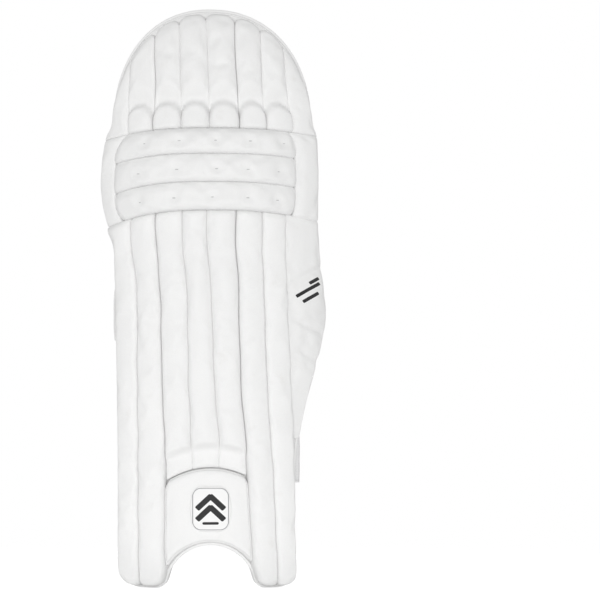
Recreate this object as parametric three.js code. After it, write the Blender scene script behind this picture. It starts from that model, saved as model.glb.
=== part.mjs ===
// A cricket batting pad for one leg, standing on its foot edge with its straps closed.
// Millimetres, +Z up. The face looks towards -Y and the calf wing is on the +X side.
import * as THREE from 'three';

const { lerp, clamp, smoothstep } = THREE.MathUtils;

// Whole pad: its height and the curve that it follows round the leg
const padHeight = 700;
const wrapHalfWidth = 142;
const wrapDepth = 105;
const crownDepth = 84;
const crownLean = 26;
const crownPower = 2.18;

// Knee roll: three rolls under kneeTop that droop towards both ends
const kneeTop = 559;
const rollCount = 3;
const rollPitch = 34;
const rollThickness = 31;
const rollReachInner = 0.7465 * wrapHalfWidth;
const rollReachWing = 0.697 * wrapHalfWidth;
const rollDroopInner = 21;
const rollDroopWing = 12;
const rollDroopGrowth = 1.7;
const kneeSideThickness = 13;

// Shin, top hat and calf wing
const ribThickness = 20;
const topHatThickness = 19;
const puffHeight = 34;
const crownRim = 6;
const wingThickness = 11;
const wingTipHeight = 180;

// Foot: two lobes with rounded corners, the instep arch between them and its shield
const archHeight = 50;
const archHalfWidth = 50;
const archCentre = 2;
const archPower = 1.1;
const footCorner = 20;
const shieldHeight = 145;
const shieldDroop = 15;
const shieldThickness = 13;
const badgeWidth = 46;
const badgeHeight = 56;
const badgeMiddle = 96;
const badgeThickness = 1.8;
const badgeGap = 0.5;

// Backing and its edge binding
const backingThickness = 3;
const bindingWidth = 5;

// Rear padding: how high and thick it is, and its seams as shares of wrapHalfWidth
const bolsterThickness = 27;
const bolsterTop = 430;
const bolsterSeams = { edge: -0.535, inner: -0.141, wing: 0.324, outer: 0.62 };
const edgeBolsterThickness = 13;
const edgeBolsterMargin = 13;
const ankleTop = 110;
const ankleSeamMargin = 1.5;
const ankleThickness = 25;
const insetLiningThickness = 5;
const kneeBolsterThickness = 29;
const kneeSeams = { inner: -0.218, mesh: 0.056, wing: 0.338 };
const kneeMeshThickness = 18;
const crownLiningThickness = 4;
const crownLiningInset = 10;

// Straps, their mesh ends and the keepers that these pass through
const strapThickness = 6;
const strapEndThickness = 2.4;
const strapEndTrim = 4;
const strapAnchorMargin = 11.5;
const keeperWidth = 8;
const keeperWall = 2.4;
const keeperClearance = 0.7;
const sideTabWidth = 32;
const sideTabThickness = 3;

// Clearances: between a pad and the backing under it, and across a seam
const seatGap = 0.6;
const rearSeatGap = 0.8;
const curvedSeatGap = 0.95;
const seamGap = 0.8;

// The widest facet of a pad's seat
const seatStep = 18;

const shinTop = kneeTop - rollCount * rollPitch;
const crownRise = padHeight - kneeTop;

// The pad's side edges on the backing, from the ground to the knee's top:
// heights are shares of kneeTop, and the edges are shares of wrapHalfWidth.
const edgeTable = [
  { at: 0, inner: -0.725, wing: 0.73 },
  { at: 0.18, inner: -0.725, wing: 0.73 },
  { at: 0.25, inner: -0.725, wing: 0.734 },
  { at: 0.31, inner: -0.727, wing: 0.753 },
  { at: 0.36, inner: -0.729, wing: 0.781 },
  { at: 0.414, inner: -0.732, wing: 0.817 },
  { at: 0.472, inner: -0.735, wing: 0.864 },
  { at: 0.522, inner: -0.738, wing: 0.909 },
  { at: 0.58, inner: -0.742, wing: 0.945 },
  { at: 0.63, inner: -0.746, wing: 0.936 },
  { at: 0.69, inner: -0.752, wing: 0.911 },
  { at: 0.74, inner: -0.762, wing: 0.895 },
  { at: 0.785, inner: -0.83, wing: 0.885 },
  { at: 0.846, inner: -0.877, wing: 0.886 },
  { at: 0.9, inner: -0.879, wing: 0.887 },
  { at: 0.95, inner: -0.862, wing: 0.882 },
  { at: 1, inner: -0.826, wing: 0.874 },
];

// The seven seams across the face, in the same shares.
const seamTable = [
  { at: 0, s1: -0.582, s2: -0.357, s3: -0.134, s4: 0.098, s5: 0.377, s6: 0.582, s7: 0.733 },
  { at: 0.108, s1: -0.592, s2: -0.376, s3: -0.141, s4: 0.091, s5: 0.36, s6: 0.564, s7: 0.724 },
  { at: 0.312, s1: -0.599, s2: -0.373, s3: -0.147, s4: 0.086, s5: 0.312, s6: 0.524, s7: 0.714 },
  { at: 0.435, s1: -0.602, s2: -0.393, s3: -0.169, s4: 0.049, s5: 0.275, s6: 0.492, s7: 0.693 },
  { at: 0.652, s1: -0.615, s2: -0.418, s3: -0.189, s4: 0.017, s5: 0.25, s6: 0.466, s7: 0.661 },
  { at: 0.762, s1: -0.667, s2: -0.451, s3: -0.226, s4: -0.017, s5: 0.229, s6: 0.451, s7: 0.65 },
  { at: 1, s1: -0.68, s2: -0.476, s3: -0.236, s4: 0.009, s5: 0.262, s6: 0.486, s7: 0.7 },
  { at: 1.065, s1: -0.671, s2: -0.451, s3: -0.232, s4: 0, s5: 0.239, s6: 0.444, s7: 0.651 },
  { at: 1.15, s1: -0.661, s2: -0.448, s3: -0.242, s4: -0.012, s5: 0.216, s6: 0.426, s7: 0.623 },
  { at: 1.26, s1: -0.648, s2: -0.465, s3: -0.257, s4: -0.032, s5: 0.208, s6: 0.419, s7: 0.605 },
];
const columnCount = 8;
const shieldColumns = [3, 4, 5];

// How thick a pad is across itself (rise) at shares of its width: a stuffed tube and a flat pad.
const tubeSection = [
  { across: 0, rise: 0.26 },
  { across: 0.1, rise: 0.64 },
  { across: 0.28, rise: 0.93 },
  { across: 0.5, rise: 1 },
  { across: 0.72, rise: 0.93 },
  { across: 0.9, rise: 0.64 },
  { across: 1, rise: 0.26 },
];
const flatSection = [
  { across: 0, rise: 0.62 },
  { across: 0.05, rise: 0.92 },
  { across: 0.16, rise: 1 },
  { across: 0.33, rise: 1 },
  { across: 0.5, rise: 1 },
  { across: 0.67, rise: 1 },
  { across: 0.84, rise: 1 },
  { across: 0.95, rise: 0.92 },
  { across: 1, rise: 0.62 },
];

// How full a pad is along itself, at shares of its length.
const ribFill = [
  { along: 0, full: 0.5 },
  { along: 0.02, full: 0.82 },
  { along: 0.06, full: 1 },
  { along: 0.2, full: 1 },
  { along: 0.34, full: 1 },
  { along: 0.48, full: 1 },
  { along: 0.62, full: 1 },
  { along: 0.76, full: 1 },
  { along: 0.88, full: 1 },
  { along: 0.96, full: 0.95 },
  { along: 1, full: 0.75 },
];
const shieldedRibFill = [
  { along: 0, full: 0.55 },
  { along: 0.05, full: 0.6 },
  { along: 0.09, full: 0.68 },
  { along: 0.14, full: 0.95 },
  { along: 0.2, full: 1 },
  { along: 0.34, full: 1 },
  { along: 0.48, full: 1 },
  { along: 0.62, full: 1 },
  { along: 0.76, full: 1 },
  { along: 0.88, full: 1 },
  { along: 0.95, full: 0.95 },
  { along: 1, full: 0.75 },
];
const creaseAlong = 0.3;
const topHatFill = [
  { along: 0, full: 0.6 },
  { along: 0.06, full: 0.92 },
  { along: 0.15, full: 1 },
  { along: 0.24, full: 0.86 },
  { along: creaseAlong, full: 0.42 },
  { along: 0.36, full: 0.76 },
  { along: 0.48, full: 0.88 },
  { along: 0.7, full: 0.86 },
  { along: 0.9, full: 0.7 },
  { along: 0.97, full: 0.5 },
  { along: 1, full: 0.32 },
];
const rollFill = [
  { along: 0, full: 0.3 },
  { along: 0.03, full: 0.5 },
  { along: 0.08, full: 0.7 },
  { along: 0.15, full: 0.84 },
  { along: 0.24, full: 0.94 },
  { along: 0.34, full: 0.99 },
  { along: 0.45, full: 1 },
  { along: 0.55, full: 1 },
  { along: 0.66, full: 0.99 },
  { along: 0.76, full: 0.94 },
  { along: 0.85, full: 0.84 },
  { along: 0.92, full: 0.7 },
  { along: 0.97, full: 0.5 },
  { along: 1, full: 0.3 },
];
const panelFill = [
  { along: 0, full: 0.5 },
  { along: 0.04, full: 0.85 },
  { along: 0.12, full: 1 },
  { along: 0.31, full: 1 },
  { along: 0.5, full: 1 },
  { along: 0.69, full: 1 },
  { along: 0.88, full: 1 },
  { along: 0.96, full: 0.85 },
  { along: 1, full: 0.5 },
];
const ankleFill = [
  { along: 0, full: 0.8 },
  { along: 0.05, full: 0.96 },
  { along: 0.2, full: 1 },
  { along: 0.5, full: 1 },
  { along: 0.8, full: 1 },
  { along: 0.94, full: 0.85 },
  { along: 1, full: 0.5 },
];
const wingFill = [
  { along: 0, full: 0.3 },
  { along: 0.1, full: 0.45 },
  { along: 0.2, full: 0.7 },
  { along: 0.3, full: 0.9 },
  { along: 0.4, full: 1 },
  { along: 0.5, full: 1 },
  { along: 0.6, full: 1 },
  { along: 0.7, full: 1 },
  { along: 0.8, full: 1 },
  { along: 0.9, full: 1 },
  { along: 0.97, full: 0.95 },
  { along: 1, full: 0.8 },
];

// A smooth cubic through a table's rows, with the slope at each row taken from its neighbours.
function follow(rows, key, at) {
  let i = 0;
  while (i < rows.length - 2 && at > rows[i + 1].at) i++;
  const slope = (j) => {
    const before = rows[Math.max(j - 1, 0)];
    const after = rows[Math.min(j + 1, rows.length - 1)];
    return (after[key] - before[key]) / (after.at - before.at);
  };
  const span = rows[i + 1].at - rows[i].at;
  const t = clamp((at - rows[i].at) / span, 0, 1);
  const ease = t * t * (3 - 2 * t);
  const leave = slope(i) * span * t * (1 - t) * (1 - t);
  const arrive = slope(i + 1) * span * t * t * (t - 1);
  return lerp(rows[i][key], rows[i + 1][key], ease) + leave + arrive;
}

// The side edges and seams at a height, and the columns between them.
const innerEdge = (z) => follow(edgeTable, 'inner', z / kneeTop) * wrapHalfWidth;
const wingEdge = (z) => follow(edgeTable, 'wing', z / kneeTop) * wrapHalfWidth;
function seam(i, z) {
  if (i === 0) return innerEdge(z);
  if (i === columnCount) return wingEdge(z);
  return follow(seamTable, `s${i}`, z / kneeTop) * wrapHalfWidth;
}

// The outline's top over x, and its bottom: the arch and the rounded outer corners.
function crown(x, inset) {
  const halfWidth = Math.abs(x < 0 ? innerEdge(kneeTop) : wingEdge(kneeTop)) - inset;
  const fromMiddle = Math.min(1, Math.abs(x) / halfWidth) ** crownPower;
  return kneeTop + (crownRise - inset) * (1 - fromMiddle) ** (1 / crownPower);
}
function foot(x, inset) {
  const s = Math.abs(x - archCentre) / (archHalfWidth + inset);
  const arch = s < 1 ? (archHeight + inset) * (1 - s * s) ** (archPower / 2) : 0;
  const fromEdge = Math.min(x - innerEdge(0), wingEdge(0) - x) - inset;
  const radius = footCorner - inset;
  const intoCorner = clamp(radius - fromEdge, 0, radius);
  const corner = inset + radius - Math.sqrt(radius * radius - intoCorner * intoCorner);
  return Math.max(arch, corner);
}

// The lower boundary of the k-th roll, counted from the top: it droops towards both ends.
function rollEdge(k, x) {
  const droop = x < 0 ? rollDroopInner : rollDroopWing;
  const grown = droop * lerp(1, rollDroopGrowth, k / rollCount);
  return kneeTop - k * rollPitch - grown * Math.abs(x / wrapHalfWidth) ** 2.5;
}
const shieldEdge = (x) => shieldHeight - shieldDroop * ((x - archCentre) / archHalfWidth) ** 2;

// How far the front line stands back at a height: it is upright up to the knee.
const lean = (z) => crownLean * Math.max(0, (z - shinTop) / (padHeight - shinTop)) ** 2;

// The depth of the wrap at a height, as the share c of it that is left at x.
const depthAt = (z) => lerp(wrapDepth, crownDepth, smoothstep(z, shinTop, padHeight));
function wrapSlope(x, z) {
  const s = clamp(x / wrapHalfWidth, -0.98, 0.98);
  return (depthAt(z) * s) / (wrapHalfWidth * Math.sqrt(1 - s * s));
}

// A point of the wrap at width x and height z, moved out along the level normal.
function wrap(x, z, out) {
  const s = clamp(x / wrapHalfWidth, -0.98, 0.98);
  const slope = wrapSlope(x, z);
  const unit = 1 / Math.hypot(1, slope);
  const y = lean(z) + depthAt(z) * (1 - Math.sqrt(1 - s * s));
  return new THREE.Vector3(x + out * slope * unit, y - out * unit, z);
}
function wrapTangent(x, z) {
  return new THREE.Vector3(1, wrapSlope(x, z), 0).normalize();
}

// One closed body through rings of points, split along each quad's shorter diagonal. A ring runs
// along its upper side, which has upperCount points, and back along its lower side; without
// upperCount the rings form a loop.
function loft(rings, upperCount = 0) {
  const count = rings[0].length;
  const points = rings.flat().flatMap((p) => p.toArray());
  const faces = [];
  const last = upperCount ? rings.length - 1 : rings.length;
  for (let r = 0; r < last; r++) {
    const a = r * count;
    const b = ((r + 1) % rings.length) * count;
    for (let i = 0; i < count; i++) {
      const j = (i + 1) % count;
      const [start, next] = [rings[r], rings[(r + 1) % rings.length]];
      if (start[i].distanceTo(next[j]) < start[j].distanceTo(next[i])) {
        faces.push([a + i, a + j, b + j], [a + i, b + j, b + i]);
      } else {
        faces.push([a + i, a + j, b + i], [a + j, b + j, b + i]);
      }
    }
  }
  if (upperCount) {
    const end = (rings.length - 1) * count;
    for (const [i, j, k] of cap(upperCount, count - upperCount)) {
      faces.push([i, k, j], [end + i, end + j, end + k]);
    }
  }
  return bodyOf(points, faces);
}

// Triangles across a ring, zipped between its upper side and its lower side.
function cap(upperCount, lowerCount) {
  const faces = [];
  const lower = (j) => upperCount + lowerCount - 1 - j;
  let i = 0;
  let j = 0;
  while (i < upperCount - 1 || j < lowerCount - 1) {
    const upperNext = (i + 1) / (upperCount - 1);
    const lowerNext = (j + 1) / (lowerCount - 1);
    if (j === lowerCount - 1 || (i < upperCount - 1 && upperNext <= lowerNext)) {
      faces.push([i, i + 1, lower(j)]);
      i++;
    } else {
      faces.push([i, lower(j + 1), lower(j)]);
      j++;
    }
  }
  return faces;
}

// A geometry of points and faces, turned over if its faces look inwards.
function bodyOf(points, faces) {
  const at = (i) => new THREE.Vector3(points[3 * i], points[3 * i + 1], points[3 * i + 2]);
  const volume = faces.reduce((sum, [i, j, k]) => sum + at(i).dot(at(j).cross(at(k))), 0);
  const outward = volume < 0 ? faces.map(([i, j, k]) => [i, k, j]) : faces;
  const geometry = new THREE.BufferGeometry();
  geometry.setAttribute('position', new THREE.Float32BufferAttribute(points, 3));
  geometry.setIndex(outward.flat());
  geometry.computeVertexNormals();
  return geometry;
}

// A stuffed pad on the wrap. place(across, along) gives its width and height on the wrap,
// and it rises from its seat on one side of the backing.
function pad({ place, section, fill, thickness, seat = seatGap, rear = false }) {
  const [sideA, sideB] = [0, 1].map((across) => wrap(...place(across, 0.5), 0));
  const seatCount = Math.max(2, Math.ceil(sideA.distanceTo(sideB) / seatStep));
  const ring = [...section];
  for (let i = seatCount; i >= 0; i--) ring.push({ across: i / seatCount, rise: 0 });
  const rings = fill.map(({ along, full }) =>
    ring.map(({ across, rise }) => {
      const [x, z] = place(across, along);
      const out = seat + thickness * rise * full;
      return wrap(x, z, rear ? -backingThickness - out : out);
    }),
  );
  return loft(rings, section.length);
}

// A column between two side lines, from its bottom line to its top line.
function column({ left, right, bottom, top, bend = (a) => a }) {
  return (across, along) => {
    const lowest = bottom(lerp(left(0), right(0), across));
    const startX = lerp(left(lowest), right(lowest), across);
    const start = bottom(startX);
    const highest = top(startX);
    const endX = lerp(left(highest), right(highest), across);
    const end = top(endX);
    const z = lerp(start, end, bend(along, start, end));
    return [lerp(left(z), right(z), across), z];
  };
}

// Materials: smooth white leathercloth, knitted mesh, piping and plastic
const leather = new THREE.MeshStandardMaterial({ color: 0xf2f2f0, roughness: 0.55 });
const lining = new THREE.MeshStandardMaterial({ color: 0xececec, roughness: 0.7 });
const mesh = new THREE.MeshStandardMaterial({ color: 0xe4e4e4, roughness: 0.9 });
const piping = new THREE.MeshStandardMaterial({ color: 0xf5f5f3, roughness: 0.5 });
const plastic = new THREE.MeshStandardMaterial({ color: 0xf7f7f5, roughness: 0.35 });

const pieces = new THREE.Group();
function add(name, geometry, material) {
  const piece = new THREE.Mesh(geometry, material);
  piece.name = name;
  pieces.add(piece);
  return piece;
}

// Where the outline's two sides are sampled, from the foot's corner to the knee's top, and the
// angles at which its arch is: the backing and its binding share both.
const sideLevels = [0, 0.1, 0.19, 0.26, 0.32, 0.38, 0.44, 0.5, 0.55, 0.6, 0.66, 0.72, 0.745, 0.77,
  0.81, 0.87, 0.93, 0.97, 1];
const archSteps = 12;
const crownSteps = 26;
const cornerSteps = 4;
function archPoint(i, inset) {
  const start = Math.asin((inset / (archHeight + inset)) ** (1 / archPower));
  const angle = lerp(start, Math.PI - start, i / archSteps);
  const x = archCentre + (archHalfWidth + inset) * Math.cos(angle);
  return [x, (archHeight + inset) * Math.sin(angle) ** archPower];
}

// The backing: one curved board inside the binding, cut out over the instep.
function backing() {
  const inset = bindingWidth + seamGap;
  const low = innerEdge(0) + inset;
  const high = wingEdge(0) - inset;
  const lobe = [0, 0.06, 0.18, 0.38, 0.68, 1];
  const lines = lobe.map((s) => lerp(low, archCentre - archHalfWidth - inset, s));
  for (let i = archSteps - 1; i > 0; i--) lines.push(archPoint(i, inset)[0]);
  lines.push(...lobe.map((s) => lerp(high, archCentre + archHalfWidth + inset, s)).reverse());
  const line = (x0, out) => {
    const across = (z) => {
      const share = (x0 - low) / (high - low);
      return lerp(innerEdge(z) + inset, wingEdge(z) - inset, share);
    };
    const start = foot(x0, inset);
    const end = crown(across(kneeTop), inset);
    return sideLevels.map((level) => {
      const fromFoot = (start - footCorner) * (1 - level) ** 3;
      const fromKnee = (end - kneeTop) * level ** 6;
      const z = lerp(footCorner, kneeTop, level) + fromFoot + fromKnee;
      return wrap(across(z), z, out);
    });
  };
  const rings = lines.map((x0) => [...line(x0, 0), ...line(x0, -backingThickness).reverse()]);
  return loft(rings, sideLevels.length);
}

// The outline, run round once at an inset: a side, the crown, the other side, lobe, arch, lobe.
function outline(inset) {
  const points = [];
  const run = (count, point) => {
    for (let i = 0; i < count; i++) points.push(point(i / count));
  };
  const side = (level, edge, sign) => {
    const z = lerp(footCorner, kneeTop, level);
    points.push([edge(z) + sign * inset, z]);
  };
  const flat = (from, to) => (s) => [lerp(from, to, s), inset];
  const corner = (edge, sign, from) => (s) => {
    const angle = from + (Math.PI / 2) * s;
    const radius = footCorner - inset;
    const x = edge - sign * footCorner + radius * Math.cos(angle);
    return [x, footCorner - radius * Math.abs(Math.sin(angle))];
  };
  const archSide = archHalfWidth + inset;
  for (const level of sideLevels.slice(0, -1)) side(level, innerEdge, 1);
  run(crownSteps, (s) => {
    const cosine = Math.cos(Math.PI * (1 - s));
    const edge = cosine < 0 ? -innerEdge(kneeTop) : wingEdge(kneeTop);
    const x = (edge - inset) * Math.sign(cosine) * Math.abs(cosine) ** (2 / crownPower);
    return [x, crown(x, inset)];
  });
  for (const level of sideLevels.slice(1).reverse()) side(level, wingEdge, -1);
  run(cornerSteps, corner(wingEdge(0), 1, 0));
  run(2, flat(wingEdge(0) - footCorner, archCentre + archSide));
  for (let i = 0; i < archSteps; i++) points.push(archPoint(i, inset));
  run(2, flat(archCentre - archSide, innerEdge(0) + footCorner));
  run(cornerSteps, corner(innerEdge(0), -1, Math.PI / 2));
  return points;
}

// The binding: a flat strip with a rounded outer side, folded over the backing's edge.
function binding() {
  const outer = outline(0);
  const shoulder = outline(backingThickness / 2);
  const inner = outline(bindingWidth);
  const rings = outer.map((_, i) => [
    wrap(...inner[i], 0),
    wrap(...shoulder[i], 0),
    wrap(...outer[i], -backingThickness / 2),
    wrap(...shoulder[i], -backingThickness),
    wrap(...inner[i], -backingThickness),
  ]);
  return loft(rings);
}

// Face: the shin's ribs, the shield and badge over the instep, and the calf wing.
function shinRib(i) {
  const shielded = shieldColumns.includes(i);
  const place = column({
    left: (z) => seam(i - 1, z) + seamGap / 2,
    right: (z) => Math.min(seam(i, z), wingEdge(z)) - seamGap / 2,
    bottom: (x) => (shielded ? shieldEdge(x) + seamGap : foot(x, 0)),
    top: (x) => rollEdge(rollCount, x) - seamGap,
  });
  const fill = shielded ? shieldedRibFill : ribFill;
  return pad({ place, section: tubeSection, fill, thickness: ribThickness });
}
function shield() {
  const place = column({
    left: (z) => seam(2, z) + seamGap / 2,
    right: (z) => seam(5, z) - seamGap / 2,
    bottom: (x) => foot(x, bindingWidth / 2),
    top: (x) => shieldEdge(x),
  });
  const fill = panelFill.filter((row, i) => i % 2 === 0);
  return pad({ place, section: flatSection, fill, thickness: shieldThickness });
}
function badge() {
  const place = (across, along) => {
    const angle = lerp(-0.42, 0.42, along) * Math.PI;
    const halfWidth = (badgeWidth / 2) * Math.sqrt(Math.cos(angle));
    const x = archCentre + lerp(-halfWidth, halfWidth, across);
    return [x, badgeMiddle + (badgeHeight / 2) * Math.sin(angle)];
  };
  const fill = panelFill.filter((row, i) => i % 2 === 0).map(({ along }) => ({ along, full: 1 }));
  const seat = seatGap + shieldThickness + badgeGap;
  return pad({ place, section: flatSection, fill, thickness: badgeThickness, seat });
}
function calfWing() {
  const place = column({
    left: (z) => seam(columnCount - 1, z) + seamGap / 2,
    right: (z) => wingEdge(z),
    bottom: () => wingTipHeight,
    top: (x) => rollEdge(rollCount, x) - seamGap,
  });
  const seat = curvedSeatGap;
  return pad({ place, section: flatSection, fill: wingFill, thickness: wingThickness, seat });
}

// Knee: three rolls across, and a side pad at each end of them.
function kneeRoll(k) {
  const place = (across, along) => {
    const x = lerp(-rollReachInner, rollReachWing, along);
    const low = rollEdge(k + 1, x) + seamGap / 2;
    const high = rollEdge(k, x) - seamGap / 2;
    return [x, lerp(low, high, across)];
  };
  return pad({ place, section: tubeSection, fill: rollFill, thickness: rollThickness });
}
function kneeSide(left, right) {
  const place = column({
    left,
    right,
    bottom: (x) => rollEdge(rollCount, x) + seamGap / 2,
    top: (x) => rollEdge(0, x) - seamGap / 2,
  });
  return pad({ place, section: flatSection, fill: panelFill, thickness: kneeSideThickness });
}

// Top hat: each column is a short puff, a crease and a long channel up to the rim.
function topHatColumn(i) {
  const puffBend = (along, start, end) => {
    const crease = Math.min(puffHeight / (end - start), 0.5);
    if (along < creaseAlong) return (crease * along) / creaseAlong;
    return lerp(crease, 1, (along - creaseAlong) / (1 - creaseAlong));
  };
  const place = column({
    left: (z) => seam(i - 1, z) + seamGap / 2,
    right: (z) => seam(i, z) - seamGap / 2,
    bottom: (x) => rollEdge(0, x) + seamGap / 2,
    top: (x) => Math.max(crown(x, crownRim), rollEdge(0, x) + crownRim + seamGap),
    bend: puffBend,
  });
  return pad({ place, section: tubeSection, fill: topHatFill, thickness: topHatThickness });
}

// Rear: a pad between two seams that run straight up.
function rearPad({ left, right, bottom, top, ...body }) {
  const line = (edge) => (typeof edge === 'function' ? edge : () => edge);
  const place = column({
    left: (z) => line(left)(z) + seamGap / 2,
    right: (z) => line(right)(z) - seamGap / 2,
    bottom: (x) => line(bottom)(x) + seamGap / 2,
    top: (x) => line(top)(x) - seamGap / 2,
  });
  const usual = { section: tubeSection, fill: panelFill, seat: rearSeatGap };
  return pad({ place, rear: true, ...usual, ...body });
}

// A strap's anchor: a point inside the pad's edge, one at the edge and one beyond it.
function strapAnchor(edge, sign, z, flare, thickness) {
  const seat = -(backingThickness + seatGap + thickness / 2);
  const inside = wrap(edge(z) + sign * strapAnchorMargin, z, seat);
  const outward = wrapTangent(edge(z), z).multiplyScalar(-sign);
  const atEdge = inside.clone().addScaledVector(outward, strapAnchorMargin);
  return [inside, atEdge, atEdge.clone().addScaledVector(outward, flare)];
}

// A strap's middle line: from its inner anchor round behind the leg to its wing anchor.
function strapLine({ inner, wing, innerFlare, wingFlare, reach }) {
  const start = strapAnchor(innerEdge, 1, inner, innerFlare, strapThickness);
  const end = strapAnchor(wingEdge, -1, wing, wingFlare, strapEndThickness).reverse();
  const middle = [];
  const arcCount = 8;
  for (let i = 1; i < arcCount; i++) {
    const angle = (Math.PI * i) / arcCount;
    const point = start[2].clone().lerp(end[0], (1 - Math.cos(angle)) / 2);
    point.y = lerp(point.y, reach, Math.sin(angle) ** 0.7);
    middle.push(point);
  }
  return new THREE.CatmullRomCurve3([...start, ...middle, ...end], false, 'centripetal');
}

// The level directions across a line at a share of its length.
function strapFrame(line, share) {
  const tangent = line.getTangentAt(share);
  const up = new THREE.Vector3(0, 0, 1);
  const out = new THREE.Vector3().crossVectors(up, tangent).normalize();
  return { point: line.getPointAt(share), tangent, out, up };
}

// A flat band along part of a line, with a slightly crowned section.
function band({ line, from, to, width, thickness, steps = 16 }) {
  const section = [
    [-0.5, 0.36], [0, 0.5], [0.5, 0.36], [0.5, -0.36], [0, -0.5], [-0.5, -0.36],
  ];
  const rings = [];
  for (let i = 0; i <= steps; i++) {
    const { point, out, up } = strapFrame(line, lerp(from, to, i / steps));
    rings.push(section.map(([w, t]) =>
      point.clone().addScaledVector(up, w * width).addScaledVector(out, t * thickness)));
  }
  return loft(rings, section.length / 2);
}

// A keeper: a flat ring that stands round the strap's mesh end.
function keeper(name, line, share, width, thickness) {
  const rectangle = (shape, w, h) => {
    shape.moveTo(-w / 2, -h / 2);
    shape.lineTo(w / 2, -h / 2);
    shape.lineTo(w / 2, h / 2);
    shape.lineTo(-w / 2, h / 2);
    shape.closePath();
    return shape;
  };
  const holeWidth = width + 2 * keeperClearance;
  const holeHeight = thickness + 2 * keeperClearance;
  const grow = 2 * keeperWall;
  const shape = rectangle(new THREE.Shape(), holeWidth + grow, holeHeight + grow);
  shape.holes.push(rectangle(new THREE.Path(), holeWidth, holeHeight));
  const ring = new THREE.ExtrudeGeometry(shape, { depth: keeperWidth, bevelEnabled: false });
  ring.translate(0, 0, -keeperWidth / 2);
  const piece = add(name, ring, plastic);
  const { point, tangent, out, up } = strapFrame(line, share);
  const basis = new THREE.Matrix4().makeBasis(up, out.clone().negate(), tangent);
  if (basis.determinant() < 0) basis.makeBasis(up, out, tangent);
  piece.quaternion.setFromRotationMatrix(basis);
  piece.position.copy(point);
}

// The straps: heights of the middle at the two anchors and the width, as shares of kneeTop; how
// far they flare beyond the edges and reach behind the pad, as shares of wrapHalfWidth; and
// between which shares of the length the band is padded.
const strapTable = [
  {
    name: 'knee', inner: 0.83, wing: 0.844, width: 0.0716,
    innerFlare: 0.056, wingFlare: 0.056, reach: 0.887, bandFrom: 0, bandTo: 0.74,
  },
  {
    name: 'calf', inner: 0.59, wing: 0.578, width: 0.1127,
    innerFlare: 0.141, wingFlare: 0.042, reach: 0.915, bandFrom: 0.13, bandTo: 0.8,
  },
  {
    name: 'ankle', inner: 0.286, wing: 0.277, width: 0.1091,
    innerFlare: 0.028, wingFlare: 0.07, reach: 0.831, bandFrom: 0, bandTo: 0.7,
  },
];
const straps = strapTable.map((row) => ({
  ...row,
  inner: row.inner * kneeTop,
  wing: row.wing * kneeTop,
  width: row.width * kneeTop,
  innerFlare: row.innerFlare * wrapHalfWidth,
  wingFlare: row.wingFlare * wrapHalfWidth,
  reach: row.reach * wrapHalfWidth,
}));
function strap({ name, width, bandFrom, bandTo, ...course }) {
  const line = strapLine(course);
  const joint = seatGap / 2 / line.getLength();
  const endWidth = width - strapEndTrim;
  add(`${name}_strap`, band({
    line, from: bandFrom, to: bandTo - joint, width, thickness: strapThickness,
  }), leather);
  add(`${name}_strap_end`, band({
    line, from: bandTo + joint, to: 1, width: endWidth, thickness: strapEndThickness, steps: 10,
  }), mesh);
  keeper(`${name}_keeper`, line, lerp(bandTo, 1, 0.36), endWidth, strapEndThickness);
}

// The calf strap is held at the inner edge by two side tabs, which run along under it. Their
// heights, at the edge and where they meet the strap, are shares of kneeTop.
const sideTabs = [
  { name: 'calf_tab_upper', anchorAt: 0.66, meetAt: 0.62 },
  { name: 'calf_tab_lower', anchorAt: 0.587, meetAt: 0.56 },
];
function sideTab({ name, anchorAt, meetAt }) {
  const anchorHeight = anchorAt * kneeTop;
  const meetHeight = meetAt * kneeTop;
  const calf = straps[1];
  const line = strapLine(calf);
  const under = strapThickness / 2 + seatGap + sideTabThickness / 2;
  const along = [0.11, 0.14, 0.18, 0.22].map((share) => {
    const { point, out } = strapFrame(line, share);
    point.z = lerp(meetHeight, anchorHeight, share < 0.12 ? 0.25 : 0);
    return point.addScaledVector(out, -under);
  });
  const flare = calf.innerFlare / 2;
  const anchor = strapAnchor(innerEdge, 1, anchorHeight, flare, sideTabThickness);
  const course = new THREE.CatmullRomCurve3([...anchor, ...along], false, 'centripetal');
  add(name, band({
    line: course, from: 0, to: 1, width: sideTabWidth, thickness: sideTabThickness, steps: 12,
  }), mesh);
}

add('backing', backing(), lining);
add('edge_binding', binding(), piping);
for (let i = 1; i < columnCount; i++) add(`shin_rib_${i}`, shinRib(i), leather);
add('instep_shield', shield(), leather);
add('shield_badge', badge(), plastic);
add('calf_wing', calfWing(), leather);
for (let k = 0; k < rollCount; k++) add(`knee_roll_${k + 1}`, kneeRoll(k), leather);
add('knee_side_inner', kneeSide((z) => innerEdge(z), () => -rollReachInner - seamGap), leather);
add('knee_side_wing', kneeSide(() => rollReachWing + seamGap, (z) => wingEdge(z)), leather);
for (let i = 1; i <= columnCount; i++) add(`top_hat_${i}`, topHatColumn(i), leather);

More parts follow.
